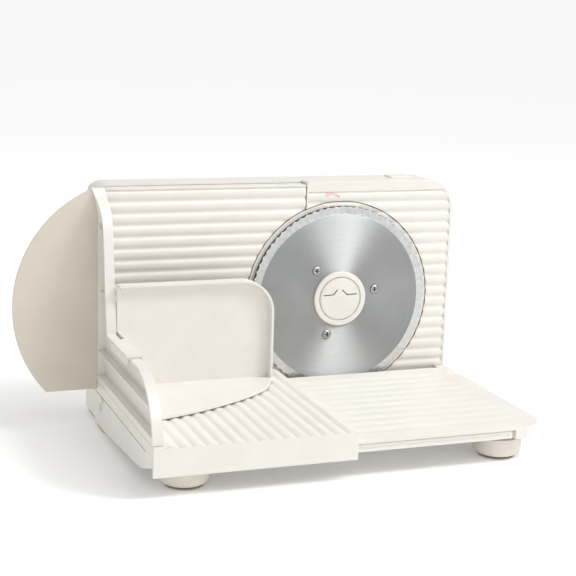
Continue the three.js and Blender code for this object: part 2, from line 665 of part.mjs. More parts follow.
// A closed tube through points, its sections square to the run and turned about the Y axis
function tube(points, radius, facets) {
  const rings = points.map((point, i) => {
    const before = points[Math.max(i - 1, 0)];
    const after = points[Math.min(i + 1, points.length - 1)];
    const ahead = after.clone().sub(before).normalize();
    const sideways = new THREE.Vector3().crossVectors(ahead, unitY).normalize();
    const upright = new THREE.Vector3().crossVectors(sideways, ahead);
    return Array.from({ length: facets }, (_, k) => {
      const angle = 2 * Math.PI * k / facets;
      return point.clone().addScaledVector(sideways, radius * Math.cos(angle))
        .addScaledVector(upright, radius * Math.sin(angle));
    });
  });
  const positions = rings.flat();
  const triangles = [];
  rings.slice(1).forEach((_, i) => {
    for (let k = 0; k < facets; k += 1) {
      const next = (k + 1) % facets;
      const [a, b] = [i * facets + k, i * facets + next];
      const [c, d] = [a + facets, b + facets];
      triangles.push(a, d, b, a, c, d);
    }
  });
  for (const [start, flip] of [[0, true], [(rings.length - 1) * facets, false]]) {
    for (let k = 1; k < facets - 1; k += 1) {
      triangles.push(start, start + (flip ? k : k + 1), start + (flip ? k + 1 : k));
    }
  }
  const geometry = new THREE.BufferGeometry().setFromPoints(positions);
  geometry.setIndex(triangles);
  return toSolid(geometry);
}

place('dial_cam_shaft', buildCamShaft(), 'steel');

function buildDial() {
  const back = scoopFloor + gap;
  const knobBack = dialFace + dial.finOut;
  const base = turned('y', dialCentre, [
    [0, back], [dial.radius - body.wall / 2, back], [dial.radius, back + dial.base / 2],
    [dial.radius - body.wall / 2, back + dial.base], [0, back + dial.base]
  ], midFacets);
  const finBase = back + dial.base - gap;
  const finSide = arc(finBase, dial.z, knobBack - finBase, dial.radius - body.wall / 2, -90, 90, 16);
  const fin = prism('x', finSide, dial.x - dial.finThick / 2, dial.x + dial.finThick / 2);
  return base.add(fin).subtract(rod('y', dialCentre, dial.journal + gap, back - over, back + dial.base,
    midFacets));
}

place('thickness_dial', buildDial(), 'ivory');

// Blade, hub ring, lock cap and screws

const screwCentres = screwAngles.map((degrees) => {
  const angle = THREE.MathUtils.degToRad(degrees);
  return [blade.x + blade.screwCircle * Math.cos(angle), blade.z + blade.screwCircle * Math.sin(angle)];
});

function buildBlade() {
  const back = blade.front + blade.thick;
  const inner = blade.radius - blade.bevel;
  const disc = turned('y', bladeCentre, [
    [blade.bore, blade.front], [inner, blade.front], [blade.radius + over, blade.front + blade.edgeSet],
    [blade.radius + over, back], [blade.bore, back]
  ], blade.teeth / 2);
  const teeth = [];
  for (let k = 0; k < blade.teeth; k += 1) {
    for (const [share, depth] of [[0, 0], [0.5, 1]]) {
      const angle = 2 * Math.PI * (k + share) / blade.teeth;
      const radius = blade.radius - depth * blade.toothDepth;
      teeth.push([blade.x + radius * Math.sin(angle), blade.z + radius * Math.cos(angle)]);
    }
  }
  let plate = disc.intersect(prism('y', teeth, blade.front - over, back + over));
  for (const centre of screwCentres) {
    plate = plate.subtract(rod('y', centre, blade.screwHole, blade.front - over, back + over, tinyFacets));
  }
  return plate;
}

place('blade', buildBlade(), 'steel');

const hubFront = blade.front - gap - hub.flange;
const hubBack = blade.front + blade.thick;
const hubFloor = hubBack - hub.floor;
place('hub_ring', turned('y', bladeCentre, [
  [hub.bore, hubFloor], [hub.capRadius + gap, hubFloor], [hub.capRadius + gap, hubFront],
  [hub.flangeRadius, hubFront], [hub.flangeRadius, blade.front - gap],
    [blade.bore - gap, blade.front - gap],
  [blade.bore - gap, hubBack], [hub.bore, hubBack]
], midFacets), 'ivory');

const cavityFront = carrierFront + carrier.keyFloor;
const cavityBack = cavityFront + lock.ear + 2 * gap;

function buildLockCap() {
  const capFront = hubFront - hub.capProud;
  const capBack = hubFloor - gap;
  const earFront = cavityFront + gap;
  const cap = turned('y', bladeCentre, [
    [0, capFront], [hub.capRadius, capFront], [hub.capRadius, capBack], [lock.stemRadius, capBack],
    [lock.stemRadius, earFront + lock.ear], [0, earFront + lock.ear]
  ], midFacets);
  const ears = box(
    blade.x - lock.earWidth / 2, blade.x + lock.earWidth / 2, earFront, earFront + lock.ear,
    blade.z - lock.earReach, blade.z + lock.earReach
  );
  return cap.add(ears);
}

place('blade_lock_cap', buildLockCap(), 'ivory');

function buildCarrier() {
  const discBack = carrierFront + carrier.disc;
  let disc = rod('y', bladeCentre, carrier.radius, carrierFront, discBack, midFacets);
  disc = disc.add(rod('y', bladeCentre, carrier.hubRadius, carrierFront, carrier.hubBack, midFacets));
  for (const centre of screwCentres) {
    disc = disc.add(rod('y', centre, carrier.bossRadius, carrierFront, carrier.bossBack));
    disc = disc.subtract(rod('y', centre, blade.screwHole, carrierFront - over, carrier.bossBack - gap,
      tinyFacets));
  }
  disc = disc.subtract(rod('y', bladeCentre, carrier.cavityRadius, cavityFront, cavityBack, midFacets));
  disc = disc.subtract(rod('y', bladeCentre, lock.stemRadius + gap, carrierFront - over,
    cavityFront + gap, midFacets));
  disc = disc.subtract(box(
    blade.x - lock.earReach - gap, blade.x + lock.earReach + gap, carrierFront - over, cavityFront + gap,
    blade.z - lock.earWidth / 2 - gap, blade.z + lock.earWidth / 2 + gap
  ));
  return disc.subtract(rod('y', bladeCentre, axle.radius + gap, axleFront - gap, carrier.hubBack + over,
    midFacets));
}

const axleFront = cavityBack + 2 * gap + body.wall / 2;
place('blade_carrier', buildCarrier(), 'white');
screwCentres.forEach((centre, i) => {
  const seat = blade.front - gap;
  const head = turned('y', centre, [
    [0, seat - bladeScrew.head], [bladeScrew.headRadius * bladeScrew.crownShare, seat - bladeScrew.head],
    [bladeScrew.headRadius, seat - bladeScrew.head / 3], [bladeScrew.headRadius, seat], [0, seat]
  ], smallFacets);
  const [x, z] = centre;
  const half = bladeScrew.slot / 2;
  const reach = bladeScrew.headRadius / 2;
  const front = seat - bladeScrew.head - over;
  const depth = seat - bladeScrew.head + bladeScrew.slotDepth;
  const solid = head.add(rod('y', centre, bladeScrew.shank, seat - gap, carrier.bossBack - 3 * gap,
    tinyFacets))
    .subtract(box(x - reach, x + reach, front, depth, z - half, z + half))
    .subtract(box(x - half, x + half, front, depth, z - reach, z + reach));
  place(`blade_screw_${i + 1}`, solid, 'steel');
});
place('blade_axle', rod('y', bladeCentre, axle.radius, axleFront, axle.back, midFacets), 'steel');
place('axle_bush', ring('y', bladeCentre, axle.radius + gap, axle.bushRadius,
  carrier.hubBack + 2 * gap + gap, axle.bushBack), 'brass');

// Worm wheel and worm

function gearOutline(data, teeth, pitchRadius) {
  const outerR = pitchRadius + gear.module * data.addendumShare;
  const rootR = pitchRadius - gear.module * data.dedendumShare;
  const points = [];
  for (let k = 0; k < teeth; k += 1) {
    const at = (radius, share) => {
      const angle = 2 * Math.PI * (k + 0.5 + share / 2) / teeth;
      points.push([radius * Math.sin(angle), radius * Math.cos(angle)]);
    };
    at(rootR, -data.rootShare);
    at(outerR, -data.tipShare);
    at(outerR, data.tipShare);
    at(rootR, data.rootShare);
  }
  return points;
}

const wheelPitch = gear.teeth * gear.module / 2;
const lead = Math.PI * gear.module;
const wheelTwist = -gear.width * Math.tan(Math.asin(lead / (2 * Math.PI * worm.pitchRadius))) / wheelPitch;

// Prism layers turned step by step, for the slanted teeth
function twistedPrism(points, centre, from, to, twist, steps) {
  const shape = new THREE.Shape(points.map(([a, b]) => new THREE.Vector2(a, b)));
  const geometry = new THREE.ExtrudeGeometry(shape, { depth: 1, steps, bevelEnabled: false });
  const position = geometry.getAttribute('position');
  for (let i = 0; i < position.count; i += 1) {
    const share = position.getZ(i);
    const angle = twist * (share - 0.5);
    const [x, z] = [position.getX(i), position.getY(i)];
    position.setXYZ(
      i,
      centre[0] + x * Math.cos(angle) - z * Math.sin(angle),
      to - (to - from) * share,
      centre[1] + x * Math.sin(angle) + z * Math.cos(angle)
    );
  }
  return toSolid(geometry);
}

function buildGear() {
  const wheel = twistedPrism(
    gearOutline(gear, gear.teeth, wheelPitch), bladeCentre, gear.front, gear.front + gear.width,
      wheelTwist, 1
  );
  return wheel.add(rod('y', bladeCentre, gear.hubRadius, axle.bushBack + 2 * gap, gear.bossBack - gap,
    midFacets))
    .subtract(rod('y', bladeCentre, axle.radius + gap, 0, body.frameBack * 2, midFacets));
}

place('drive_gear', buildGear(), 'white');

const wormEnd = blade.x + worm.core / 2 + bearing.endPlay + bearing.width;

function buildWorm() {
  const coreRadius = worm.pitchRadius - gear.module * worm.dedendumShare;
  const tipRadius = worm.pitchRadius + gear.module * worm.addendumShare;
  const [coreFrom, coreTo] = [blade.x - worm.core / 2, blade.x + worm.core / 2];
  const shaft = rod('x', wormCentre, worm.shaftRadius, motor.front - motor.shaftSeat + 2 * gap, wormEnd,
    tinyFacets);
  const core = rod('x', wormCentre, coreRadius, coreFrom, coreTo);
  // One thread, a ridge wound at the lead, its flanks drawn in towards the tip
  const stepsPerTurn = 11;
  const steps = 2 * Math.round(worm.thread / lead * stepsPerTurn / 2);
  const positions = [];
  for (let k = 0; k <= steps; k += 1) {
    const turn = (k - steps / 2) / stepsPerTurn;
    const angle = 2 * Math.PI * turn;
    const along = blade.x + lead * turn;
    const rootHalf = lead * worm.rootShare / 2;
    const tipHalf = lead * worm.tipShare / 2;
    for (const [radius, offset] of [
      [coreRadius * worm.sunkShare, -rootHalf], [tipRadius, -tipHalf], [tipRadius, tipHalf],
        [coreRadius * worm.sunkShare, rootHalf]
    ]) {
      positions.push(new THREE.Vector3(
        along + offset, wormCentre[0] + radius * Math.sin(angle), wormCentre[1] + radius * Math.cos(angle)
      ));
    }
  }
  const triangles = [];
  for (let k = 0; k < steps; k += 1) {
    for (let j = 0; j < 4; j += 1) {
      const [a, b] = [k * 4 + j, k * 4 + (j + 1) % 4];
      triangles.push(a, b + 4, a + 4, a, b, b + 4);
    }
  }
  const last = steps * 4;
  triangles.push(0, 2, 1, 0, 3, 2, last, last + 1, last + 2, last, last + 2, last + 3);
  const geometry = new THREE.BufferGeometry().setFromPoints(positions);
  geometry.setIndex(triangles);
  return joined([shaft, core, toSolid(geometry)]);
}

place('motor_worm', buildWorm(), 'brass');
place('worm_bearing', box(
  wormEnd - bearing.width, wormEnd, well.floor + well.floorThick + gap, wormCentre[0] + bearing.above,
  wormCentre[1] - bearing.half, wormCentre[1] + bearing.half
).subtract(rod('x', wormCentre, worm.shaftRadius + gap, wormEnd - bearing.width - over, wormEnd + over)),
  'white');

// Motor and its bracket

function buildMotor() {
  const back = motor.front - motor.length;
  return rod('x', wormCentre, motor.radius, back, motor.front, midFacets)
    .add(rod('x', wormCentre, motor.noseRadius, motor.front - gap, motor.front + motor.nose))
    .add(rod('x', wormCentre, motor.boss, back - motor.bossLength, back + gap))
    .subtract(rod('x', wormCentre, worm.shaftRadius + gap, motor.front - motor.shaftSeat,
      motor.front + over * 2));
}

place('motor', buildMotor(), 'steel');

function buildBracket() {
  const [low, high] = [wormZ - bracket.half, wormZ + bracket.half];
  const footFrom = bracketX + bracket.thick - gap;
  let sheet = box(bracketX, bracketX + bracket.thick, bracket.front, wormY + motor.radius, low, high)
    .add(box(footFrom, footFrom + bracket.foot, bracket.front, bracket.front + bracket.thick, low, high));
  sheet = sheet.subtract(rod('x', wormCentre, motor.noseRadius + gap, bracketX - over,
    bracketX + bracket.thick + over));
  for (const centre of bracketScrewCentres) {
    sheet = sheet.subtract(rod('y', centre, bracket.screwRadius + gap, bracket.front - over,
      body.frameBack));
  }
  return sheet;
}

place('motor_bracket', buildBracket(), 'steel');
bracketScrewCentres.forEach((centre, i) => {
  const seat = bracket.front + bracket.thick + gap;
  const solid = screw('y', centre, bracket, seat, seat - well.floor - well.floorThick - 2 * gap);
  place(`bracket_screw_${i + 1}`, solid, 'steel');
});

// Power button, spring, switch and control board

function buildButton() {
  const under = body.top - body.wall - gap;
  const cap = prism('z', buttonOutline(0), under - button.flangeThick, body.top + button.domeRim);
  const dome = prism('z', buttonOutline(-button.domeRim * 2), body.top, body.top + button.proud);
  const skirt = prism('z', buttonOutline(button.flange), under - button.flangeThick, under);
  const stemEnd = switchTop + gap + button.travel;
  return joined([cap, dome, skirt, rod('z', [buttonX, button.y], button.stemRadius, stemEnd, under)]);
}

place('power_button', buildButton(), 'ivory');
place('button_spring', ring('z', [buttonX, button.y], spring.inner, spring.outer, switchTop + gap,
  body.top - body.wall - button.flangeThick - 2 * gap, smallFacets), 'steel');

function buildSwitch() {
  const [x, y] = [buttonX, button.y];
  let block = box(
    x - switchBox.halfX, x + switchBox.halfX, y - switchBox.halfY, y + switchBox.halfY, switchBottom,
      switchTop
  );
  block = block.subtract(rod('z', [x, y], switchBox.plungerHole, switchTop - over, switchTop + over,
    tinyFacets));
  return block;
}

place('power_switch', buildSwitch(), 'dark');

function buildBoard() {
  const front = innerBack + board.postHeight + gap;
  const back = front + board.thick;
  const sheet = box(boardX - board.halfX, boardX + board.halfX, front, back,
    boardZ - board.halfZ, boardZ + board.halfZ);
  const half = board.part / 2;
  const parts = [-1, 1].map((side) => {
    const x = boardX + side * board.halfX / 2;
    return side < 0
      ? rod('y', [x, boardZ], half, back - gap, back + board.part)
      : box(x - board.part, x + board.part, back - gap, back + half, boardZ - half, boardZ + half);
  });
  return joined([sheet, ...parts]);
}

place('control_board', buildBoard(), 'green');

// Folding table, its pins, feet and the guide bar

const tableHalf = body.halfWidth;
const rearHalf = body.halfWidth - hinge.earWidth - gap;
const mainRear = hinge.y - hinge.earRound - gap;
const recessHalf = guideBar.half + guideBar.endGap;

function tablePlan(inset) {
  const half = tableHalf - inset;
  const rearSide = rearHalf - inset;
  const front = table.front + inset;
  const step = mainRear - inset;
  return rounded([
    [-rearSide, table.rearEdge - inset], [-rearSide, step], [-half, step],
    [-half, front, table.corner - inset], [half, front, table.corner - inset],
    [half, step], [rearSide, step], [rearSide, table.rearEdge - inset]
  ], 6);
}

function buildTable() {
  const sideways = [
    [table.rearEdge, table.top], [table.rearEdge, table.rearBottom], [mainRear, table.rearBottom],
    [mainRear, table.sideRear], [table.sideMidAt, table.sideMid], [table.sideForeAt, table.sideFore],
    [table.frontBottomAt, table.frontBottom], [table.front, table.frontBottom], [table.front, table.top]
  ];
  const under = table.top - table.plate;
  let shell = prism('x', sideways, -tableHalf, tableHalf).intersect(prism('z', tablePlan(0), 0, table.top));
  const frontInside = table.front + table.recessDepth + table.wall;
  const hollow = prism('z', tablePlan(table.wall), -over, under)
    .intersect(box(-tableHalf, tableHalf, frontInside, 0, -over, under));
  shell = shell.subtract(hollow);
  // Recess for the guide bar, under the front lip
  shell = shell.subtract(box(
    -recessHalf, recessHalf, table.front - over, table.front + table.recessDepth,
    0, table.top - table.lip
  ));
  // Ribs across the top
  const count = Math.floor((table.ribFirst - table.front - table.frontBand) / table.ribPitch);
  const wave = ribWave(-table.ribFirst, table.ribPitch, count, table.ribDepth)
    .map(([depth, along]) => [-along, table.top - depth]);
  const cut = prism('x', [[wave[0][0], table.top + over], ...wave, [wave.at(-1)[0], table.top + over]],
    -tableHalf, tableHalf).intersect(prism('z', tablePlan(table.ribBorder), 0, table.top + over));
  shell = shell.subtract(cut);
  // Hinge lugs inside the ears
  for (const sign of [-1, 1]) {
    const outer = sign * rearHalf;
    const inner = sign * (rearHalf - hinge.lug);
    const [from, to] = [Math.min(outer, inner), Math.max(outer, inner)];
    shell = shell.add(rod('x', [hinge.y, hinge.z], hinge.lugRadius, from, to, midFacets));
    shell = shell.subtract(rod('x', [hinge.y, hinge.z], hinge.pinRadius + gap, from - over, to + over));
  }
  return shell;
}

place('folding_table', buildTable(), 'ivory');

for (const [side, sign] of [['left', -1], ['right', 1]]) {
  const outer = sign * (body.halfWidth - body.wall / 2);
  const inner = sign * (rearHalf - hinge.lug + gap);
  place(`hinge_pin_${side}`, rod('x', [hinge.y, hinge.z], hinge.pinRadius,
    Math.min(outer, inner), Math.max(outer, inner)), 'steel');
}

for (const [side, sign] of [['left', -1], ['right', 1]]) {
  const centre = [sign * (tableHalf - foot.fromSide), table.front + foot.fromFront];
  const seat = table.top - table.plate - gap;
  const bottom = foot.cup + gap;
  place(`foot_${side}`, turned('z', centre, [
    [0, bottom], [foot.lower, bottom], [foot.radius, bottom + body.wall],
      [foot.radius, bottom + foot.height],
    [foot.neck, bottom + foot.height], [foot.neck, seat], [0, seat]
  ], midFacets), 'ivory');
  place(`suction_cup_${side}`, turned('z', centre, [
    [0, foot.cupDepth], [foot.cupHollow, 0], [foot.cupRadius, 0], [foot.cupNeck, foot.cup], [0, foot.cup]
  ], midFacets), 'rubber');
}

const barBack = table.front + table.recessDepth - gap;
place('guide_bar', box(-guideBar.half, guideBar.half, barBack - guideBar.thick, barBack,
  guideBar.bottom, guideBar.top), 'ivory');

// Carriage tray

const trayBottom = table.top + gap;
const trayDeck = tray.crest - tray.plate;
const stripRight = trayLeft + tray.wallStrip;
const wallX = trayLeft + endWall.thick / 2;
const wallScrewPlaces = [wallScrew.rearAt, wallScrew.foreAt];

function buildTray() {
  const skin = trayDeck;
  let deck = box(trayLeft, tray.right, tray.front, tray.rear, trayBottom, tray.crest);
  deck = deck.add(box(trayLeft, tray.right, tray.front, tray.front + tray.wall, tray.skirtBottom,
    tray.crest));
  deck = deck.subtract(box(
    trayLeft + tray.wall, tray.right - tray.wall, tray.front + tray.wall, tray.rear - tray.wall,
    trayBottom - over, skin
  ));
  // The hook runs in the table's recess, whose ends stop the stroke
  const hookBack = barBack - guideBar.thick - gap;
  deck = deck.add(box(-recessHalf + over, recessHalf - tray.stroke - over,
    tray.front + tray.wall - gap, hookBack, tray.hookBottom, tray.hookTop));
  const count = Math.floor((tray.right - stripRight) / tray.ribPitch);
  const pitch = (tray.right - stripRight) / count;
  const wave = ribWave(stripRight, pitch, count,
    tray.ribDepth).map(([depth, along]) => [along, tray.crest - depth]);
  deck = deck.subtract(prism('y',
    [[stripRight, tray.crest + over], ...wave, [tray.right, tray.crest + over]],
    tray.front - over, tray.rear + over));
  for (const y of wallScrewPlaces) {
    deck = deck.subtract(rod('z', [wallX, y], wallScrew.screwRadius + gap, skin - over, tray.crest + over,
      tinyFacets));
  }
  return deck;
}

place('carriage_tray', buildTray(), 'ivory');

// End wall: upright, rail and rounded front band, hollow towards the left

const wallBottom = tray.crest + gap;
const wallRight = trayLeft + endWall.thick;

// Front edge of the upright, as shares of its height above the rail and of its depth
const uprightShares = [[0.947, 0.07], [0.904, 0.238], [0.787, 0.51], [0.59, 0.668], [0.341, 0.783]];

function uprightEdge() {
  const tall = endWall.top - endWall.rail;
  return uprightShares.map(([h, d]) => [endWall.rear - endWall.uprightDepth * d, endWall.rail + tall * h]);
}

function railAndBand() {
  const across = endWall.railEnd - endWall.front;
  return [
    [endWall.rear - endWall.uprightDepth, endWall.rail],
    ...arc(endWall.railEnd, wallBottom, across, endWall.rail - wallBottom, 90, 180, 12)
  ];
}

// Moves every edge of an outline inwards by distance
function drawnIn(points, distance) {
  const area = points.reduce((sum, [a, b], i) => {
    const [c, d] = points[(i + 1) % points.length];
    return sum + a * d - c * b;
  }, 0);
  return points.map((point, i) => {
    const here = new THREE.Vector2(...point);
    const back = here.clone().sub(new THREE.Vector2(...points.at(i - 1))).normalize();
    const on = new THREE.Vector2(...points[(i + 1) % points.length]).sub(here).normalize();
    const inward = (edge) => new THREE.Vector2(-edge.y, edge.x).multiplyScalar(Math.sign(area));
    const middle = inward(back).add(inward(on)).normalize();
    const moved = here.addScaledVector(middle, distance / Math.max(middle.dot(inward(on)), 0.3));
    return [moved.x, moved.y];
  });
}

function buildWall() {
  let plate = prism('x', [
    [endWall.rear, wallBottom], [endWall.rear, endWall.headFrom], [endWall.head, endWall.headFrom],
    [endWall.head, endWall.top], [endWall.rear, endWall.top], ...uprightEdge(), ...railAndBand()
  ], trayLeft, wallRight);
  // The pocket reaches up to where the upright gets narrow
  const pocketBack = wallRight - endWall.skin;
  const lowEdge = uprightEdge().slice(2);
  const pocket = prism('x', drawnIn([
    [endWall.rear, wallBottom], [endWall.rear, lowEdge[0][1]], ...lowEdge, ...railAndBand()
  ], endWall.rim), trayLeft - over, pocketBack)
    .intersect(box(trayLeft - over, pocketBack, endWall.front, endWall.rear, endWall.flangeTop,
      endWall.headFrom))
    .subtract(box(
      trayLeft - over, pocketBack, endWall.front, endWall.rear,
      endWall.midRib - endWall.rim / 2, endWall.midRib + endWall.rim / 2
    ));
  plate = plate.subtract(pocket);
  for (const y of wallScrewPlaces) {
    plate = plate.subtract(rod('z', [wallX, y], wallScrew.screwRadius + gap, wallBottom - over,
      wallBottom + wallScrew.bite + gap, tinyFacets));
  }
  for (const z of guardScrewPlaces) {
    const boss = endWall.rear - guard.screwLength - gap;
    plate = plate.add(box(trayLeft + endWall.skin, pocketBack + gap, boss, endWall.rear - gap,
      z - guard.headRadius, z + guard.headRadius));
    plate = plate.subtract(rod('y', [wallX, z], guard.screwRadius + gap, boss + gap, endWall.rear + over,
      tinyFacets));
  }
  return plate;
}

const guardScrewPlaces = [-1, 0,
  1].map((k) => (guard.bottom + endWall.headFrom) / 2 + k * guard.screwPitch);
place('carriage_wall', buildWall(), 'ivory');

wallScrewPlaces.forEach((y, i) => {
  const seat = trayDeck - gap;
  const solid = screw('z', [wallX, y], wallScrew, seat, seat - wallBottom - wallScrew.bite);
  place(`wall_screw_${i + 1}`, solid, 'steel');
});

// Half-round guard behind the upright

const guardFront = endWall.rear + gap;
const guardBack = guardFront + guard.thick;

function buildGuard() {
  const shoulder = trayLeft - gap;
  const from = THREE.MathUtils.radToDeg(Math.acos((shoulder - guardX) / guard.radius));
  const to = 180 + THREE.MathUtils.radToDeg(Math.asin((guard.z - guard.bottom) / guard.radius));
  const outline = [
    [shoulder, guard.bottom], [shoulder, wallBottom], [wallRight, wallBottom],
    [wallRight, endWall.headFrom - gap], [shoulder, endWall.headFrom - gap],
    ...arc(guardX, guard.z, guard.radius, guard.radius, from, to, 28)
  ];
  let plate = prism('y', outline, guardFront, guardBack);
  for (const z of guardScrewPlaces) {
    plate = plate.subtract(rod('y', [wallX, z], guard.screwRadius + gap, guardFront - over,
      guardBack + over, tinyFacets));
  }
  return plate;
}

place('blade_guard', buildGuard(), 'ivory');
guardScrewPlaces.forEach((z, i) => {
  const seat = guardBack + gap;
  const solid = screw('y', [wallX, z], guard, seat, seat - endWall.rear + guard.screwLength - 2 * gap);
  place(`guard_screw_${i + 1}`, solid, 'steel');
});

// Pusher: plate with a rim, side with a saddle on the end wall's rail, curved shelf

const shelfShares = [[0, 0.02], [0.02, 0.073], [0.088, 0.275], [0.3135, 0.486], [0.548, 0.706],
  [0.901, 0.945], [1, 1]];

function buildPusher() {
  const width = pusher.right - pusherLeft;
  const depth = pusher.plateFront - pusher.shelfFront;
  const plateBack = pusher.plateFront + pusher.plate;
  const face = (inset) => rounded([
    [pusherLeft + inset, pusher.shelfBottom], [pusher.right - inset, pusher.shelfBottom],
    [pusher.right - inset, pusher.top - inset, pusher.corner - inset],
    [pusherLeft + inset, pusher.top - inset, pusher.rim]
  ], 6);
  const plate = prism('y', face(0), pusher.plateFront, plateBack);
  const rim = prism('y', face(0), pusher.rimFront, plateBack)
    .subtract(prism('y', face(pusher.rim), pusher.rimFront - over, plateBack + over))
    .subtract(box(
      pusherLeft, pusherLeft + pusher.rim, pusher.rimFront, pusher.plateFront, pusher.shelfBottom,
      pusher.top - pusher.rim
    ));
  const spline = new THREE.SplineCurve(shelfShares.map(([across, out]) => (
    new THREE.Vector2(pusher.right - across * width, pusher.plateFront - out * depth)
  )));
  const edge = spline.getPoints(24).map((point) => [point.x, point.y]);
  const shelf = prism('z', [[pusherLeft, plateBack], [pusher.right, plateBack], ...edge],
    pusher.shelfBottom, pusher.shelfTop);
  const saddleBottom = endWall.rail + gap;
  const saddleTop = saddleBottom + pusher.saddle;
  const lipOut = trayLeft - gap - pusher.saddle;
  const sideRight = pusherLeft + pusher.saddle;
  const side = box(pusherLeft, sideRight, pusher.saddleFront, plateBack, pusher.shelfBottom, saddleTop);
  const saddle = box(lipOut, sideRight, pusher.saddleFront, pusher.saddleRear, saddleBottom, saddleTop);
  const lip = box(lipOut, trayLeft - gap, pusher.saddleFront, pusher.saddleRear, saddleTop - pusher.lip,
    saddleTop);
  return joined([plate, rim, shelf, side, saddle, lip]);
}

place('pusher', buildPusher(), 'ivory');

// The part's origin lies on the floor under the middle of its box
const frontMost = tray.front;
const rearMost = dialFace + dial.finOut;
const leftMost = guardX - guard.radius;
slicer.position.set(-(leftMost + body.halfWidth) / 2, -(frontMost + rearMost) / 2, 0);

export default slicer;
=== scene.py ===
import json
import math

import bmesh
import bpy
from bpy.props import FloatProperty, FloatVectorProperty, IntProperty, PointerProperty
from mathutils import Matrix, Vector


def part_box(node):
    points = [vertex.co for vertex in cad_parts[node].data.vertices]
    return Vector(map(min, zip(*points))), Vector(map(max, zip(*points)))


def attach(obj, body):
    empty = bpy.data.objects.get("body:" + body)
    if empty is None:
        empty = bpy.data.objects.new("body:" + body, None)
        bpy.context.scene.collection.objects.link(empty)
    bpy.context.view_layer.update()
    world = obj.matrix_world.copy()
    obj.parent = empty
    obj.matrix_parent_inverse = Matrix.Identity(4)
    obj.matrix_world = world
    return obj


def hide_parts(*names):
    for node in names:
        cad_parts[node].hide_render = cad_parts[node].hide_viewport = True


bl_info = {
    "name": "Food slicer",
    "version": (1, 0, 0),
    "blender": (4, 5, 0),
    "location": "View3D > Sidebar > Slicer",
    "description": "Builds an electric food slicer round its CAD frame, piece by piece",
    "category": "Object",
}

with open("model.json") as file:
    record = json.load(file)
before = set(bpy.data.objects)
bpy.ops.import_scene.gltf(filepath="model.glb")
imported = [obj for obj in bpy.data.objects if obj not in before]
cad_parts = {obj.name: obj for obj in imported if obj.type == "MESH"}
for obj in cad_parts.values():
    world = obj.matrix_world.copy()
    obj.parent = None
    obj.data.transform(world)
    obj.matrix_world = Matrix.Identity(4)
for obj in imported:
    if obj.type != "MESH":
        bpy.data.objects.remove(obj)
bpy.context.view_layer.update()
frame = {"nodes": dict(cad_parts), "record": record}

# Lengths are millimetres in the housing's own axes: X from its middle, Y from its ribbed face, Z from the floor
MM = 0.001
FRONT_LOW, FRONT_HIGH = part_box("front_frame")
ORIGIN = Vector(((FRONT_LOW.x + FRONT_HIGH.x) / 2, FRONT_LOW.y, 0))
NEAR = 0.05   # a place counts as met within this
MEET = 0.004  # points closer than this become one
OVER = 3      # how far a cutter stands past what it cuts
GAP = 0.3     # room between pieces that fit into each other

HALF, TOP, BOTTOM, WALL, PANEL = 188, 232.5, 4, 2.5, 3
FRAME_BACK, SEAM, SILL = 38, 38.3, 34.5
PLATE_EDGE, INNER_FACE, INNER_BACK = 26, 18.6, 21.1
BLADE_X, BLADE_Z, BLADE_R, BLADE_FRONT, BLADE_BACK = 63.5, 113.5, 95, -4, -2.6
WELL_R, WELL_FLOOR, WELL_BACK = 99, 6, 8.4
DIAL_X, DIAL_Z, DIAL_FACE, SCOOP_FLOOR = -85, 118, 60.58, 54.58
HINGE_Y, HINGE_Z, EAR = -25.5, 23.5, 11
TABLE_TOP, TABLE_FRONT, TABLE_REAR, TABLE_STEP, TABLE_SIDE = 34.5, -214.5, -9, -36.8, 176.7
TRAY_LEFT, TRAY_RIGHT, TRAY_REAR, TRAY_FRONT, TRAY_TOP = -187.5, -3, -6, -218, 45
WALL_RIGHT, WALL_REAR, WALL_FOOT, RAIL = -178.1, -9.8, 45.3, 100
HUB = (BLADE_X, BLADE_Z)
HUB_SCREW_PLACES = [(BLADE_X + 39 * math.cos(math.radians(turn)), BLADE_Z + 39 * math.sin(math.radians(turn)))
                    for turn in (11.5, 131.5, 251.5)]
SCREW_PLACES = [(-171, 21), (171, 21), (171, 198.5), (-171, 198.5)]
GLAND_PLACE = (150, 40)
GUARD_SCREW_PLACES = [(-182.8, z) for z in (71.25, 131.25, 191.25)]


class SlicerSizes(bpy.types.PropertyGroup):
    """Sizes of the forms that only the visual model has"""

    panel_ribs: FloatProperty(
        name="Panel rib depth", description="Depth of the valleys in the ribbed panels",
        default=1.4 * MM, min=0.5 * MM, max=1.9 * MM, unit="LENGTH", precision=4)
    table_ribs: FloatProperty(
        name="Table rib depth", description="Depth of the valleys across the table",
        default=0.95 * MM, min=0.3 * MM, max=1.6 * MM, unit="LENGTH", precision=4)
    tray_ribs: FloatProperty(
        name="Tray rib depth", description="Depth of the valleys along the tray",
        default=1.8 * MM, min=0.5 * MM, max=2.6 * MM, unit="LENGTH", precision=4)
    teeth: IntProperty(
        name="Blade teeth", description="Number of scallops round the blade",
        default=76, min=60, max=180)
    tooth_depth: FloatProperty(
        name="Tooth depth", description="Depth of the scallops in the blade's edge",
        default=1.7 * MM, min=0.4 * MM, max=2 * MM, unit="LENGTH", precision=4)
    edge: FloatProperty(
        name="Edge radius", description="Radius of the moulded edges",
        default=0.9 * MM, min=0.2 * MM, max=1.5 * MM, unit="LENGTH", precision=4)


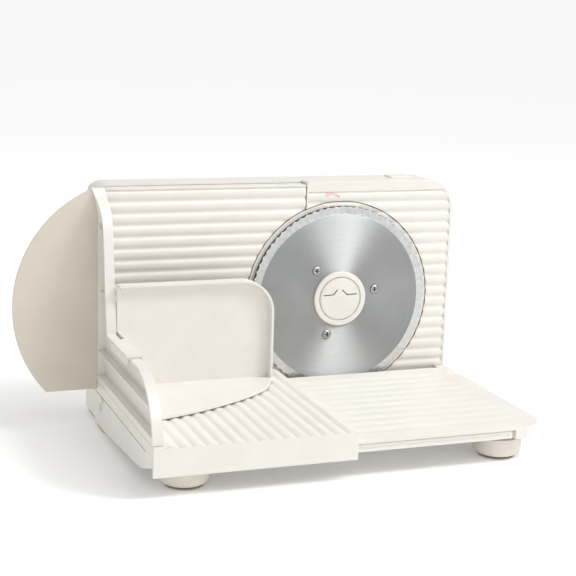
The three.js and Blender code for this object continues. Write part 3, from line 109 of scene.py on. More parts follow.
class SlicerColours(bpy.types.PropertyGroup):
    """Colours of the finishes"""

    plastic: FloatVectorProperty(
        name="Housing plastic", description="Colour of the moulded housing, table and carriage",
        subtype="COLOR", size=3, min=0, max=1, default=(0.825, 0.795, 0.74))
    rubber: FloatVectorProperty(
        name="Rubber", description="Colour of the pads and suction cups",
        subtype="COLOR", size=3, min=0, max=1, default=(0.52, 0.42, 0.31))
    # Darker than the housing plastic: painted shade, as the guard lies in the machine's shade beside the end
    # wall
    guard: FloatVectorProperty(
        name="Guard plastic", description="Colour of the thin moulded guard",
        subtype="COLOR", size=3, min=0, max=1, default=(0.7, 0.645, 0.555))
    # Darker than the housing plastic: painted shade, as the feet lie in shade under the table
    feet: FloatVectorProperty(
        name="Feet", description="Colour of the round feet",
        subtype="COLOR", size=3, min=0, max=1, default=(0.77, 0.72, 0.64))
    mark: FloatVectorProperty(
        name="Arrow", description="Colour of the printed turning arrow",
        subtype="COLOR", size=3, min=0, max=1, default=(0.78, 0.46, 0.46))
    floor: FloatVectorProperty(
        name="Floor", description="Colour of the studio floor",
        subtype="COLOR", size=3, min=0, max=1, default=(0.98, 0.98, 0.98))


# Places and picking


def at(x, y, z):
    """A point in metres from millimetres in the housing's axes"""
    return ORIGIN + Vector((x, y, z)) * MM


def shift(x, y, z):
    return Vector((x, y, z)) * MM


def spot(co):
    return (co - ORIGIN) / MM


def across(axis, a, b, along):
    """Coordinates from an outline's pair and a place along the axis"""
    return {"x": (along, a, b), "y": (a, along, b), "z": (a, b, along)}[axis]


def let_go():
    if bpy.context.mode != "OBJECT":
        bpy.ops.object.mode_set(mode="OBJECT")
    bpy.ops.object.select_all(action="DESELECT")


def hold(piece):
    let_go()
    piece.select_set(True)
    bpy.context.view_layer.objects.active = piece


def settle(name):
    """Names the active object and applies its place to its mesh"""
    bpy.ops.object.mode_set(mode="OBJECT")
    bpy.ops.object.transform_apply(location=True, rotation=True, scale=True)
    piece = bpy.context.object
    piece.name = name
    piece.data.name = name
    return piece


def open_mesh(piece, kind):
    hold(piece)
    bpy.ops.object.mode_set(mode="EDIT")
    bpy.ops.mesh.select_mode(type=kind)
    bpy.ops.mesh.select_all(action="DESELECT")


def choose(piece, kind, test):
    """Selects the vertices, edges or faces that pass a test on their millimetre corners"""
    shape = bmesh.from_edit_mesh(piece.data)
    found = 0
    for item in getattr(shape, kind):
        corners = [item.co] if kind == "verts" else [v.co for v in item.verts]
        if test([spot(c) for c in corners]):
            item.select_set(True)
            found += 1
    bmesh.update_edit_mesh(piece.data)
    if not found:
        raise RuntimeError(f"nothing to select on {piece.name}")


def lies(**where):
    """A test for corners that all lie at a coordinate"""
    return lambda corners: all(
        abs(getattr(c, key) - value) < NEAR for c in corners for key, value in where.items())


# Making and joining


def block(name, x, y, z):
    let_go()
    low, high = at(x[0], y[0], z[0]), at(x[1], y[1], z[1])
    bpy.ops.mesh.primitive_cube_add(size=1, location=(low + high) / 2, scale=high - low)
    return settle(name)


def walk(spots):
    """Starts from one vertex and extrudes it from point to point"""
    bpy.ops.mesh.primitive_plane_add(size=MM, location=spots[0])
    bpy.ops.object.mode_set(mode="EDIT")
    bpy.ops.mesh.select_mode(type="VERT")
    bpy.ops.mesh.select_all(action="SELECT")
    bpy.ops.mesh.merge(type="CENTER")
    for here, there in zip(spots, spots[1:]):
        bpy.ops.mesh.extrude_vertices_move(TRANSFORM_OT_translate={"value": there - here})
    bpy.ops.mesh.select_all(action="SELECT")


def drawn(name, axis, outline, low, high):
    """A closed outline drawn point by point and pulled out along an axis"""
    let_go()
    walk([at(*across(axis, a, b, low)) for a, b in outline])
    bpy.ops.mesh.edge_face_add()
    if high != low:
        pull = shift(*across(axis, 0, 0, high - low))
        bpy.ops.mesh.extrude_region_move(TRANSFORM_OT_translate={"value": pull})
    bpy.ops.mesh.select_all(action="SELECT")
    bpy.ops.mesh.normals_make_consistent(inside=False)
    return settle(name)


def spun(name, axis, centre, profile, steps=64):
    """A profile of (radius, height) turned once round an axis"""
    let_go()
    a, b = centre
    ring = profile[0][0] > 0
    walk([at(*across(axis, a + radius, b, height)) for radius, height in profile + profile[:ring]])
    turn = Vector(across(axis, 0, 0, 1))
    bpy.ops.mesh.spin(steps=steps, angle=2 * math.pi, center=at(*across(axis, a, b, 0)), axis=turn)
    bpy.ops.mesh.select_all(action="SELECT")
    bpy.ops.mesh.remove_doubles(threshold=MEET / 2 * MM)
    bpy.ops.mesh.normals_make_consistent(inside=False)
    return settle(name)


def rod(name, axis, centre, radius, low, high, steps=48):
    return spun(name, axis, centre, [(0, low), (radius, low), (radius, high), (0, high)], steps)


def work(piece, tool, how):
    """Joins a tool to a piece, cuts it out or keeps what both share, and merges points that meet"""
    hold(piece)
    bpy.ops.object.modifier_add(type="BOOLEAN")
    change = piece.modifiers[-1]
    change.operation = how
    change.object = tool
    change.solver = "EXACT"
    change.material_mode = "INDEX"
    bpy.ops.object.modifier_apply(modifier=change.name)
    bpy.data.objects.remove(tool, do_unlink=True)
    open_mesh(piece, "VERT")
    bpy.ops.mesh.select_all(action="SELECT")
    bpy.ops.mesh.remove_doubles(threshold=MEET * MM)
    bpy.ops.mesh.dissolve_degenerate(threshold=MEET * MM)
    bpy.ops.object.mode_set(mode="OBJECT")
    return piece


def gathered(tools, name="tools"):
    """Objects that don't touch each other as one"""
    hold(tools[0])
    for tool in tools:
        tool.select_set(True)
    bpy.ops.object.join()
    return settle(name)


def marked(tool):
    """Gives a tool's faces, and so what it cuts, the second finish; in the well and the screw slots that finish
    is dark painted shade
    """
    for face in tool.data.polygons:
        face.material_index = 1
    return tool


def cut(piece, *tools):
    for tool in tools:
        work(piece, tool, "DIFFERENCE")
    return piece


def add(piece, *tools):
    for tool in tools:
        work(piece, tool, "UNION")
    return piece


def shared(piece, tool):
    return work(piece, tool, "INTERSECT")


def round_edges(piece, test, radius, steps=5):
    open_mesh(piece, "EDGE")
    choose(piece, "edges", test)
    bpy.ops.mesh.bevel(offset=radius * MM, segments=steps, affect="EDGES")
    bpy.ops.object.mode_set(mode="OBJECT")
    return piece


def ease(piece, width, steps=3, angle=35):
    """Rounds every sharp edge of a plain piece"""
    hold(piece)
    bpy.ops.object.modifier_add(type="BEVEL")
    change = piece.modifiers[-1]
    change.width = width * MM
    change.segments = steps
    change.limit_method = "ANGLE"
    change.angle_limit = math.radians(angle)
    bpy.ops.object.modifier_apply(modifier=change.name)
    return piece


def copied(piece, name, offset):
    hold(piece)
    bpy.ops.object.duplicate()
    bpy.ops.transform.translate(value=offset)
    return settle(name)


def fit_out(piece, body, slot, first, *nodes, angle=32, second=None):
    """Smooths a finished piece, gives it its finish and ties it to the frame"""
    hold(piece)
    bpy.ops.object.shade_smooth_by_angle(angle=math.radians(angle))
    bpy.ops.object.modifier_add(type="WEIGHTED_NORMAL")
    change = piece.modifiers[-1]
    change.keep_sharp = True
    change.weight = 100
    bpy.ops.object.modifier_apply(modifier=change.name)
    marks = [face.material_index for face in piece.data.polygons]
    piece.data.materials.clear()
    piece.data.materials.append(first)
    if second:
        piece.data.materials.append(second)
        piece.data.polygons.foreach_set("material_index", marks)
    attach(piece, body)
    if nodes:
        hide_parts(*nodes)
    return piece


# Outlines


def rounded(corners, steps=8):
    """Rounds the corners of an outline; a corner is (a, b) or (a, b, radius)"""
    points = []
    for i, corner in enumerate(corners):
        here = Vector(corner[:2])
        radius = corner[2] if len(corner) > 2 else 0
        if radius <= 0:
            points.append(tuple(here))
            continue
        back = (Vector(corners[i - 1][:2]) - here).normalized()
        ahead = (Vector(corners[(i + 1) % len(corners)][:2]) - here).normalized()
        half = back.angle(ahead) / 2
        centre = here + (back + ahead).normalized() * radius / math.sin(half)
        start = here + back * radius / math.tan(half) - centre
        end = here + ahead * radius / math.tan(half) - centre
        turn = math.atan2(start.x * end.y - start.y * end.x, start.dot(end))
        count = max(2, round(abs(turn) / (math.pi / 2) * steps))
        for k in range(count + 1):
            c, s = math.cos(turn * k / count), math.sin(turn * k / count)
            points.append((centre.x + start.x * c - start.y * s, centre.y + start.x * s + start.y * c))
    return points


def arc(a, b, radius_a, radius_b, start, end, steps):
    angles = [math.radians(start + (end - start) * k / steps) for k in range(steps + 1)]
    return [(a + radius_a * math.cos(t), b + radius_b * math.sin(t)) for t in angles]


def smooth_line(points, steps=6):
    """A smooth line through points"""
    line = []
    for i in range(len(points) - 1):
        p0, p1, p2, p3 = (Vector(points[min(max(i + k, 0), len(points) - 1)]) for k in (-1, 0, 1, 2))
        for k in range(steps):
            t = k / steps
            line.append(tuple(0.5 * (2 * p1 + (p2 - p0) * t + (2 * p0 - 5 * p1 + 4 * p2 - p3) * t ** 2
                                     + (3 * p1 - p0 - 3 * p2 + p3) * t ** 3)))
    return line + [tuple(points[-1])]


def drawn_in(points, distance):
    """Moves every edge of a closed outline inwards"""
    count = len(points)
    area = sum(points[i][0] * points[(i + 1) % count][1] - points[(i + 1) % count][0] * points[i][1]
               for i in range(count))
    side = math.copysign(1, area)
    moved = []
    for i in range(count):
        here = Vector(points[i])
        back = (here - Vector(points[i - 1])).normalized()
        on = (Vector(points[(i + 1) % count]) - here).normalized()
        normal_back, normal_on = Vector((-back.y, back.x)) * side, Vector((-on.y, on.x)) * side
        middle = (normal_back + normal_on).normalized()
        moved.append(tuple(here + middle * distance / max(middle.dot(normal_on), 0.3)))
    return moved


def ribs(first, pitch, count, depth):
    """Convex crests and narrow valleys as (depth, place) pairs"""
    shares = (0, 0.06, 0.12, 0.2, 0.3, 0.42, 0.5, 0.58, 0.7, 0.8, 0.88, 0.94)
    line = [(depth * abs(math.cos(math.pi * share)) ** 3.4, first + pitch * (k + share))
            for k in range(count) for share in shares]
    return line + [(depth, first + pitch * count)]


def housing_outline(inset):
    side, foot = HALF - inset, max(5 - inset, 0)
    return rounded([(-side, BOTTOM + inset, foot), (side, BOTTOM + inset, foot),
                    (side, TOP - inset, 30 - inset), (-side, TOP - inset, 17 - inset)], 12)


def housing_block(inset, low, high):
    return drawn("outline", "y", housing_outline(inset), low, high)


# Finishes


class Finish:
    """A material and short ways to add its nodes"""

    def __init__(self, name):
        self.material = bpy.data.materials.new(name)
        self.material.use_nodes = True
        self.tree = self.material.node_tree
        self.shader = self.tree.nodes["Principled BSDF"]
        self.place = self.node("ShaderNodeTexCoord").outputs["Object"]

    def node(self, kind, **values):
        made = self.tree.nodes.new(kind)
        for key, value in values.items():
            setattr(made, key, value)
        return made

    def link(self, source, target):
        self.tree.links.new(source, target)

    def set(self, **values):
        names = {"metal": "Metallic", "roughness": "Roughness", "ior": "IOR", "specular": "Specular IOR Level",
                 "anisotropic": "Anisotropic", "turn": "Anisotropic Rotation", "lit": "Emission Strength"}
        for key, value in values.items():
            self.shader.inputs[names[key]].default_value = value

    def noise(self, scale, detail=3, source=None):
        made = self.node("ShaderNodeTexNoise")
        made.inputs["Scale"].default_value = scale
        made.inputs["Detail"].default_value = detail
        self.link(source or self.place, made.inputs["Vector"])
        return made.outputs["Fac"]

    def spread(self, source, low, high, start=0.3, end=0.7):
        made = self.node("ShaderNodeMapRange")
        for key, value in (("From Min", start), ("From Max", end), ("To Min", low), ("To Max", high)):
            made.inputs[key].default_value = value
        self.link(source, made.inputs["Value"])
        return made.outputs["Result"]

    def maths(self, how, first, second=None):
        made = self.node("ShaderNodeMath", operation=how)
        for socket, value in zip(made.inputs, (first, second)):
            if isinstance(value, (int, float)):
                socket.default_value = value
            elif value is not None:
                self.link(value, socket)
        return made.outputs[0]

    def blend(self, share, first, second):
        made = self.node("ShaderNodeMix", data_type="RGBA")
        self.link(share, made.inputs["Factor"])
        for key, value in ((6, first), (7, second)):
            if isinstance(value, tuple):
                made.inputs[key].default_value = (*value, 1)
            else:
                self.link(value, made.inputs[key])
        return made.outputs[2]

    def edges(self, radius):
        """Rounded edges, and a mask that is 1 on them and 0 on the flat"""
        soft = self.node("ShaderNodeBevel", samples=6)
        soft.inputs["Radius"].default_value = radius
        flat = self.node("ShaderNodeNewGeometry")
        match = self.node("ShaderNodeVectorMath", operation="DOT_PRODUCT")
        self.link(soft.outputs[0], match.inputs[0])
        self.link(flat.outputs["Normal"], match.inputs[1])
        return soft.outputs[0], self.spread(match.outputs["Value"], 1, 0, 0.86, 0.995)

    def bump(self, height, strength, distance, normal=None):
        made = self.node("ShaderNodeBump")
        made.inputs["Strength"].default_value = strength
        made.inputs["Distance"].default_value = distance
        self.link(height, made.inputs["Height"])
        if normal:
            self.link(normal, made.inputs["Normal"])
        return made.outputs[0]


def tint(colour, factor):
    return tuple(min(1, c * factor) for c in colour)


def moulded(name, colour, low, high, grain, edge):
    """Moulded plastic or rubber: faint mottling, fine grain and edges a little lighter"""
    made = Finish(name)
    normal, edge_mask = made.edges(edge)
    mottled = made.blend(made.spread(made.noise(38), 0, 1), tint(colour, 0.975), tint(colour, 1.02))
    made.link(made.blend(made.maths("MULTIPLY", edge_mask, 0.45), mottled, tint(colour, 1.08)),
              made.shader.inputs["Base Color"])
    gloss = made.maths("ADD", made.spread(made.noise(160, 5), low, high),
                       made.maths("MULTIPLY", edge_mask, -0.05))
    made.link(gloss, made.shader.inputs["Roughness"])
    fine = made.maths("ADD", made.noise(grain, 2), made.maths("MULTIPLY", made.noise(grain / 6, 2), 0.6))
    made.link(made.bump(fine, 0.12, 0.00004, normal), made.shader.inputs["Normal"])
    return made


def metal(name, colour, low, high, scale, edge):
    """Cast, turned or sheet metal with fine marks"""
    made = Finish(name)
    made.set(metal=1)
    normal, edge_mask = made.edges(edge)
    marks = made.noise(scale, 6)
    made.link(made.blend(made.spread(marks, 0, 1), tint(colour, 0.9), tint(colour, 1.08)),
              made.shader.inputs["Base Color"])
    made.link(made.maths("ADD", made.spread(marks, low, high), made.maths("MULTIPLY", edge_mask, -0.06)),
              made.shader.inputs["Roughness"])
    made.link(made.bump(marks, 0.08, 0.00003, normal), made.shader.inputs["Normal"])
    return made


def ring_brushed(name, colour):
    """Sheet steel brushed in rings about the blade's axis"""
    made = Finish(name)
    made.set(metal=1, anisotropic=0.88, turn=0.25)
    centre = made.node("ShaderNodeMapping")
    centre.inputs["Location"].default_value = -at(BLADE_X, 0, BLADE_Z)
    centre.inputs["Scale"].default_value = (1, 0, 1)
    moved = made.node("ShaderNodeVectorMath", operation="MULTIPLY")
    made.link(made.place, centre.inputs["Vector"])
    made.link(centre.outputs[0], moved.inputs[0])
    moved.inputs[1].default_value = (1, 0, 1)
    length = made.node("ShaderNodeVectorMath", operation="LENGTH")
    made.link(moved.outputs[0], length.inputs[0])
    unit = made.node("ShaderNodeVectorMath", operation="NORMALIZE")
    made.link(moved.outputs[0], unit.inputs[0])
    radius = length.outputs["Value"]
    rings = made.node("ShaderNodeCombineXYZ")
    made.link(made.maths("MULTIPLY", radius, 2600), rings.inputs["X"])
    spread = made.node("ShaderNodeVectorMath", operation="MULTIPLY_ADD")
    spread.inputs[1].default_value = (1.6, 1.6, 1.6)
    made.link(unit.outputs[0], spread.inputs[0])
    made.link(rings.outputs[0], spread.inputs[2])
    lines = made.noise(1, 4, spread.outputs[0])
    broad = made.noise(30, 3)
    made.link(made.blend(made.spread(lines, 0, 1, 0.25, 0.75), tint(colour, 0.86), tint(colour, 1.1)),
              made.shader.inputs["Base Color"])
    rough = made.maths("ADD", made.spread(lines, 0.44, 0.58, 0.25, 0.75), made.spread(broad, -0.03, 0.03))
    made.link(rough, made.shader.inputs["Roughness"])
    normal, _ = made.edges(0.0002)
    made.link(made.bump(lines, 0.1, 0.00002, normal), made.shader.inputs["Normal"])
    made.link(made.node("ShaderNodeTangent", direction_type="RADIAL", axis="Y").outputs[0],
              made.shader.inputs["Tangent"])
    return made


# Colour or the name of its setting, lowest and highest roughness, grain, share of the edge setting
PLASTICS = {
    "cream_plastic": ("plastic", 0.34, 0.46, 2400, 1),
    # Dark brown painted shade for the well round the blade
    "shaded_plastic": ((0.5, 0.34, 0.2), 0.5, 0.6, 2400, 1),
    # The guard and feet finishes are darker than the housing plastic as painted shade
    "guard_plastic": ("guard", 0.38, 0.5, 2400, 1),
    "foot_plastic": ("feet", 0.38, 0.5, 2400, 1),
    "soft_rubber": ("rubber", 0.62, 0.8, 1500, 1),
    "white_nylon": ((0.8, 0.79, 0.75), 0.4, 0.55, 1800, 1 / 2),
    "black_plastic": ((0.03, 0.03, 0.032), 0.4, 0.6, 1800, 1 / 2),
    "board_green": ((0.03, 0.16, 0.07), 0.35, 0.5, 900, 1 / 3),
    "printed_red": ("mark", 0.5, 0.62, 3000, 1 / 9),
    "printed_grey": ((0.2, 0.2, 0.2), 0.5, 0.62, 3000, 1 / 9),
}
SHINE = {"cream_plastic": 0.45, "guard_plastic": 0.4, "foot_plastic": 0.4}
# Colour, lowest and highest roughness, scale of the marks and edge radius in metres
METALS = {
    "plated_steel": ((0.62, 0.62, 0.61), 0.22, 0.38, 900, 0.0003),
    "grey_steel": ((0.4, 0.4, 0.395), 0.34, 0.46, 900, 0.0003),
    "ground_steel": ((0.58, 0.59, 0.59), 0.34, 0.42, 260, 0.0002),
    "turned_brass": ((0.66, 0.45, 0.18), 0.25, 0.4, 1100, 0.0003),
}
# What the CAD nodes' slots wear
SLOT_FINISHES = {
    "steel": "plated_steel", "blade_steel": "ring_brushed", "ivory": "cream_plastic", "rubber": "soft_rubber",
    "white_plastic": "white_nylon", "dark_plastic": "black_plastic", "brass": "turned_brass",
    "board": "board_green",
}


def finish(name):
    """The finish of that name, made once"""
    if name in bpy.data.materials:
        return bpy.data.materials[name]
    if name in PLASTICS:
        colour, low, high, grain, share = PLASTICS[name]
        if isinstance(colour, str):
            colour = getattr(bpy.context.scene.slicer_colours, colour)
        made = moulded(name, colour, low, high, grain, bpy.context.scene.slicer_sizes.edge * share)
    elif name in METALS:
        made = metal(name, *METALS[name])
    else:
        made = ring_brushed(name, (0.41, 0.42, 0.42))
    if name in SHINE:
        made.set(ior=1.5, specular=SHINE[name])
    return made.material


def cream(piece, body, *nodes, angle=32):
    return fit_out(piece, body, "ivory", finish("cream_plastic"), *nodes, angle=angle)


# Housing


def make_housing_front():
    rib_depth = bpy.context.scene.slicer_sizes.panel_ribs / MM
    front = drawn("housing_front", "y", housing_outline(0), 0, FRAME_BACK)
    above = (SILL, TOP + OVER)
    cut(front, block("step", (-HALF - OVER, PLATE_EDGE), (-OVER, 14.5), above))
    cut(front, shared(housing_block(WALL, -OVER, INNER_FACE),
                      block("left", (-HALF, PLATE_EDGE), (-OVER - 1, INNER_FACE + 1), above)))
    for x, y, z in (((PLATE_EDGE + WALL, HALF), (0, 50), (BOTTOM, TOP)),
                    ((-HALF, HALF), (0, 50), (BOTTOM, SILL - WALL)),
                    ((-HALF, HALF), (INNER_BACK, 50), (BOTTOM, TOP))):
        cut(front, shared(housing_block(WALL, PANEL, FRAME_BACK + OVER), block("part", x, y, z)))
    centre = HUB
    rim = rod("rim", "y", centre, WELL_R + WALL, 0, WELL_BACK, 192)
    cut(rim, block("step", (-HALF - OVER, PLATE_EDGE), (-OVER, WELL_BACK + OVER), above))
    add(front, rim, rod("drum", "y", centre, WELL_R - GAP, WELL_FLOOR - 1, INNER_BACK - 0.1, 192))
    # The well's wall and floor take the second finish, a brown that paints the shade in the gap round the blade
    cut(front, marked(rod("well", "y", centre, WELL_R, -OVER, WELL_FLOOR, 192)),
        rod("back", "y", centre, WELL_R - GAP - WALL, WELL_BACK, INNER_BACK + OVER, 192))
    lip = WELL_R - 0.8
    add(front, spun("lip", "y", centre, [
        (90, WELL_FLOOR - 0.1), (93.4, 1.2), (94, 0.8), (lip, 0.8), (lip, 6.4), (90, 6.4)], 192))
    inside = WELL_FLOOR + 1
    add(front, rod("cup", "y", centre, 19.5, inside, 15.1, 64),
        rod("tube", "y", centre, 12.3, inside + 0.3, 54, 64))
    cut(front, rod("cup_hole", "y", centre, 17, -OVER, 12.6, 64), rod("bore", "y", centre, 9.3, -OVER, 57, 64))
    add(front, gathered([rod("boss", "y", place, 5.5, INNER_FACE + GAP, FRAME_BACK, 32)
                         for place in SCREW_PLACES]))
    cut(front, gathered([rod("hole", "y", place, 2.3, 22, 41, 24) for place in SCREW_PLACES]))
    window = rounded([(123.7, 17.95, 4.3), (148.3, 17.95, 4.3),
                      (148.3, 36.05, 4.3), (123.7, 36.05, 4.3)], 6)
    cut(front, drawn("window", "z", window, TOP - WALL - OVER, TOP + OVER))
    line = ribs(222.2 - 17 * 11.25, 11.25, 17, rib_depth)
    valleys = drawn("valleys", "x", [(-OVER, line[0][1])] + line + [(-OVER, line[-1][1])], 27.7, HALF)
    cut(front, shared(valleys, housing_block(2.7, -OVER, PANEL)))
    fit_out(front, "base", "ivory", finish("cream_plastic"), "front_frame", second=finish("shaded_plastic"))
    for sign, name in ((-1, "left"), (1, "right")):
        near = -HALF if sign < 0 else HALF - EAR
        side = rounded([(-GAP, BOTTOM), (-GAP, SILL),
                        (HINGE_Y - EAR, SILL, EAR), (HINGE_Y - EAR, BOTTOM, WALL)], 12)
        ear = drawn(f"hinge_ear_front_{name}", "x", side, near, near + EAR)
        cut(ear, rod("hole", "x", (HINGE_Y, HINGE_Z), 3.3, near - OVER, near + EAR + OVER, 32))
        outside, floor = sign * (HALF + 1), sign * (HALF - 0.8)
        cut(ear, spun("sink", "x", (HINGE_Y, HINGE_Z), [
            (0, outside), (5.2, outside), (4.2, floor), (0, floor)], 32))
        cream(ear, "base", f"hinge_ear_{name}")


def make_housing_rear():
    def body(inset):
        side = rounded([
            (SEAM, BOTTOM + inset), (53 - inset, BOTTOM + inset, 5), (62.8 - inset, 16 + inset, 8),
            (62.8 - inset, 82, 60), (58.6 - inset, 150, 60), (54.5 - inset, 190, 40),
            (48 - inset, 222 - inset, 9), (43.5 - inset, TOP - inset, 2), (SEAM, TOP - inset)], 10)
        made = drawn("shell", "x", side, -HALF, HALF)
        shared(made, housing_block(inset, SEAM - 0.01, 64))
        plan = rounded([
            (-HALF + inset, SEAM - OVER), (HALF - inset, SEAM - OVER), (HALF - inset, SEAM, 6),
            (HALF - 14 - inset, 62.8, 5), (-HALF + 14 + inset, 62.8, 5), (-HALF + inset, SEAM, 6)], 8)
        return shared(made, drawn("plan", "z", plan, BOTTOM - OVER, TOP + OVER))

    rear = body(0)
    rear.name = "housing_rear"
    inner = body(WALL)
    hold(inner)
    bpy.ops.transform.translate(value=shift(0, -0.2, 0))
    settle("inner")
    cut(rear, inner)
    centre = (DIAL_X, DIAL_Z)

    def scoop(grow):
        return spun("scoop", "y", centre, [
            (0, SCOOP_FLOOR - grow), (23 + grow, SCOOP_FLOOR - grow),
            (24.4 + grow, SCOOP_FLOOR + 0.5 - grow),
            (29 + grow, DIAL_FACE - 0.6), (31 + grow, DIAL_FACE + OVER), (0, DIAL_FACE + OVER)], 96)

    # The inner forms end just under the shell's outside, so that no faces share a plane
    add(rear, shared(scoop(WALL), body(0.1)))
    cut(rear, scoop(0), rod("journal", "y", centre, 7.3, SEAM, 66, 48))
    towers = gathered([rod("tower", "y", place, 7, SEAM, 62.8, 48) for place in SCREW_PLACES])
    add(rear, shared(towers, body(0.1)))
    cut(rear, gathered([rod("hole", "y", place, 2.3, 35, 63, 24) for place in SCREW_PLACES]),
        gathered([rod("sink", "y", place, 4.6, 44, 66, 48) for place in SCREW_PLACES]))
    add(rear, shared(rod("bearing", "y", HUB, 7.8, 46, 59.5, 48), body(0.1)))
    cut(rear, rod("bore", "y", HUB, 5.3, 43, 54.3, 48), rod("gland", "y", GLAND_PLACE, 6.3, SEAM, 66, 48))
    slot = drawn("slot", "y", rounded([(8, 30, 1.9), (12, 30, 1.9), (12, 66, 1.9), (8, 66, 1.9)], 6), 61.5, 66)
    cut(rear, gathered([slot] + [copied(slot, "slot", shift(8.5 * k, 0, 0)) for k in range(1, 11)]))
    cream(rear, "base", "rear_housing")
    make_scale(rear)


def lay_on(piece, base, lift, thickness, side):
    """Presses a flat drawing along Y onto a piece and makes it as thick as ink"""
    hold(piece)
    bpy.ops.object.modifier_add(type="SHRINKWRAP")
    change = piece.modifiers[-1]
    change.target = base
    change.wrap_method = "PROJECT"
    change.use_project_x, change.use_project_y, change.use_project_z = False, True, False
    change.use_positive_direction = True
    change.use_negative_direction = True
    change.offset = lift * MM
    bpy.ops.object.modifier_apply(modifier=change.name)
    bpy.ops.object.modifier_add(type="SOLIDIFY")
    change = piece.modifiers[-1]
    change.thickness = thickness * MM
    change.offset = side
    bpy.ops.object.modifier_apply(modifier=change.name)


def make_scale(rear):
    """Ticks and numbers of the slice scale round the dial"""
    parts = []
    clear, text_radius = 70, 42
    for k in range(16):
        angle = math.radians(90 - 20 * k)
        long = k % 5 == 0
        inner, outer = 33, (37.5 if long else 35.5)
        half = 0.5 if long else 0.35
        x, z = math.cos(angle), math.sin(angle)
        corners = [(DIAL_X - x * r + z * h, DIAL_Z + z * r + x * h)
                   for r, h in ((inner, -half), (outer, -half), (outer, half), (inner, half))]
        parts.append(drawn("tick", "y", corners, clear, clear))
        if long:
            let_go()
            bpy.ops.object.text_add(
                location=at(DIAL_X - x * text_radius, clear, DIAL_Z + z * text_radius - 2),
                rotation=(math.pi / 2, 0, math.pi))
            text = bpy.context.object
            text.data.body = str(k)
            text.data.size = 6.5 * MM
            text.data.align_x = "CENTER"
            bpy.ops.object.convert(target="MESH")
            parts.append(settle("number"))
    scale = gathered(parts, "dial_scale")
    lay_on(scale, rear, lift=0.02, thickness=0.12, side=1)
    fit_out(scale, "base", "dark_plastic", finish("printed_grey"))


def make_pads():
    rear, ear, pitch = (17.5, 45), (-33, -7), 4
    for name, x, y in (("rear_pad_left", (-184, -148), rear), ("rear_pad_right", (148, 184), rear),
                       ("ear_pad_left", (-186.75, -178.25), ear), ("ear_pad_right", (178.25, 186.75), ear)):
        pad = block(name.replace("pad", "rubber"), x, y, (0, 3.7))
        round_edges(pad, lambda c: abs(c[0].z - c[1].z) > 1, 1.5, 4)
        round_edges(pad, lies(z=0), 0.5, 2)
        groove = block("groove", (x[0] - 1, x[1] + 1), (y[0] + 3.5, y[0] + 4.5), (-1, 0.7))
        count = int((y[1] - y[0]) / pitch) - 1
        cut(pad, gathered([groove] + [copied(groove, "groove", shift(0, pitch * k, 0))
                                      for k in range(1, count)]))
        fit_out(pad, "base", "rubber", finish("soft_rubber"), name)


def cross_screw(name, body, node, centre, seat, way, radius, height, shank, length, look="plated_steel"):
    """A round-headed cross-slot screw along Y; way is 1 where the head points to the back"""
    dome = [(0, 1), (0.5, 0.96), (0.78, 0.82), (0.93, 0.58), (1, 0.3), (1, 0)]
    profile = [(radius * r, seat + way * height * h) for r, h in dome]
    profile += [(shank, seat), (shank, seat - way * length), (0, seat - way * length)]
    screw = spun(name, "y", centre, profile, 40)
    a, b = centre
    top, bottom = seat + way * (height + 1), seat + way * height * 0.15
    for along, wide in ((0.6, 0.15), (0.15, 0.6)):
        corners = [(a + radius * along * u, b + radius * wide * v)
                   for u, v in ((-1, -1), (1, -1), (1, 1), (-1, 1))]
        # The slot faces take the black finish as painted shade in the cross slot
        cut(screw, marked(drawn("slot", "y", corners, min(top, bottom), max(top, bottom))))
    fit_out(screw, body, "steel", finish(look), node, second=finish("black_plastic"))


def make_housing_screws():
    for i, place in enumerate(SCREW_PLACES):
        cross_screw(f"shell_screw_{i + 1}", "base", f"housing_screw_{i + 1}", place,
                    seat=44.3, way=1, radius=4, height=2.6, shank=2, length=18)


def make_gland():
    face = 63.1
    profile = [(0, face + 9.5), (2.6, face + 9.5), (3.2, face + 10.2), (3.2, face + 11.2), (4.1, face + 12),
               (5.2, face + 11.8), (5.9, face + 11)]
    for k in range(4):
        low = face + 10 - 1.8 * k
        profile += [(5.9, low), (5.2, low - 0.4), (5.2, low - 1), (6, low - 1.4)]
    profile += [(6, face + 3.2), (8.2, face + 2.4), (9, face + 1.6), (9, face), (6, face), (6, face - 3.1),
                (9, face - 3.1), (9, face - 5.6), (0, face - 5.6)]
    collar = spun("cable_collar", "y", GLAND_PLACE, profile, 72)
    fit_out(collar, "base", "white_plastic", finish("white_nylon"), "cord_gland")


# Thickness plate, dial and button


def make_thickness_plate():
    rib_depth = bpy.context.scene.slicer_sizes.panel_ribs / MM
    inset = WALL + GAP
    right, foot = PLATE_EDGE - 1, SILL + GAP
    region = ((-HALF, right), (-OVER, 30), (foot, TOP))
    plate = shared(drawn("thickness_plate", "y", housing_outline(inset), 0, 17.5), block("region", *region))
    cut(plate, shared(housing_block(inset + 2.2, PANEL, 20),
                      block("inside", (-HALF, 30), (0, 30), (foot - OVER, TOP))))
    centres = [(DIAL_X - 38, DIAL_Z), (DIAL_X + 38, DIAL_Z)]
    add(plate, gathered([rod("stem", "y", centre, 5.5, 1.5, 27.4, 48) for centre in centres]))
    cut(plate, gathered([rod("hole", "y", centre, 1.8, 15.7, 30, 24) for centre in centres]))
    line = ribs(228 - 17 * 11.4, 11.4, 17, rib_depth)
    outline = [(-OVER, line[0][1])] + line + [(-OVER, line[-1][1])]
    cut(plate, drawn("valleys", "x", outline, -HALF, right + 1))
    cut(plate, rod("round", "y", HUB, WELL_R + GAP, -OVER, 40, 192))
    cream(plate, "gauge", "gauge_plate")


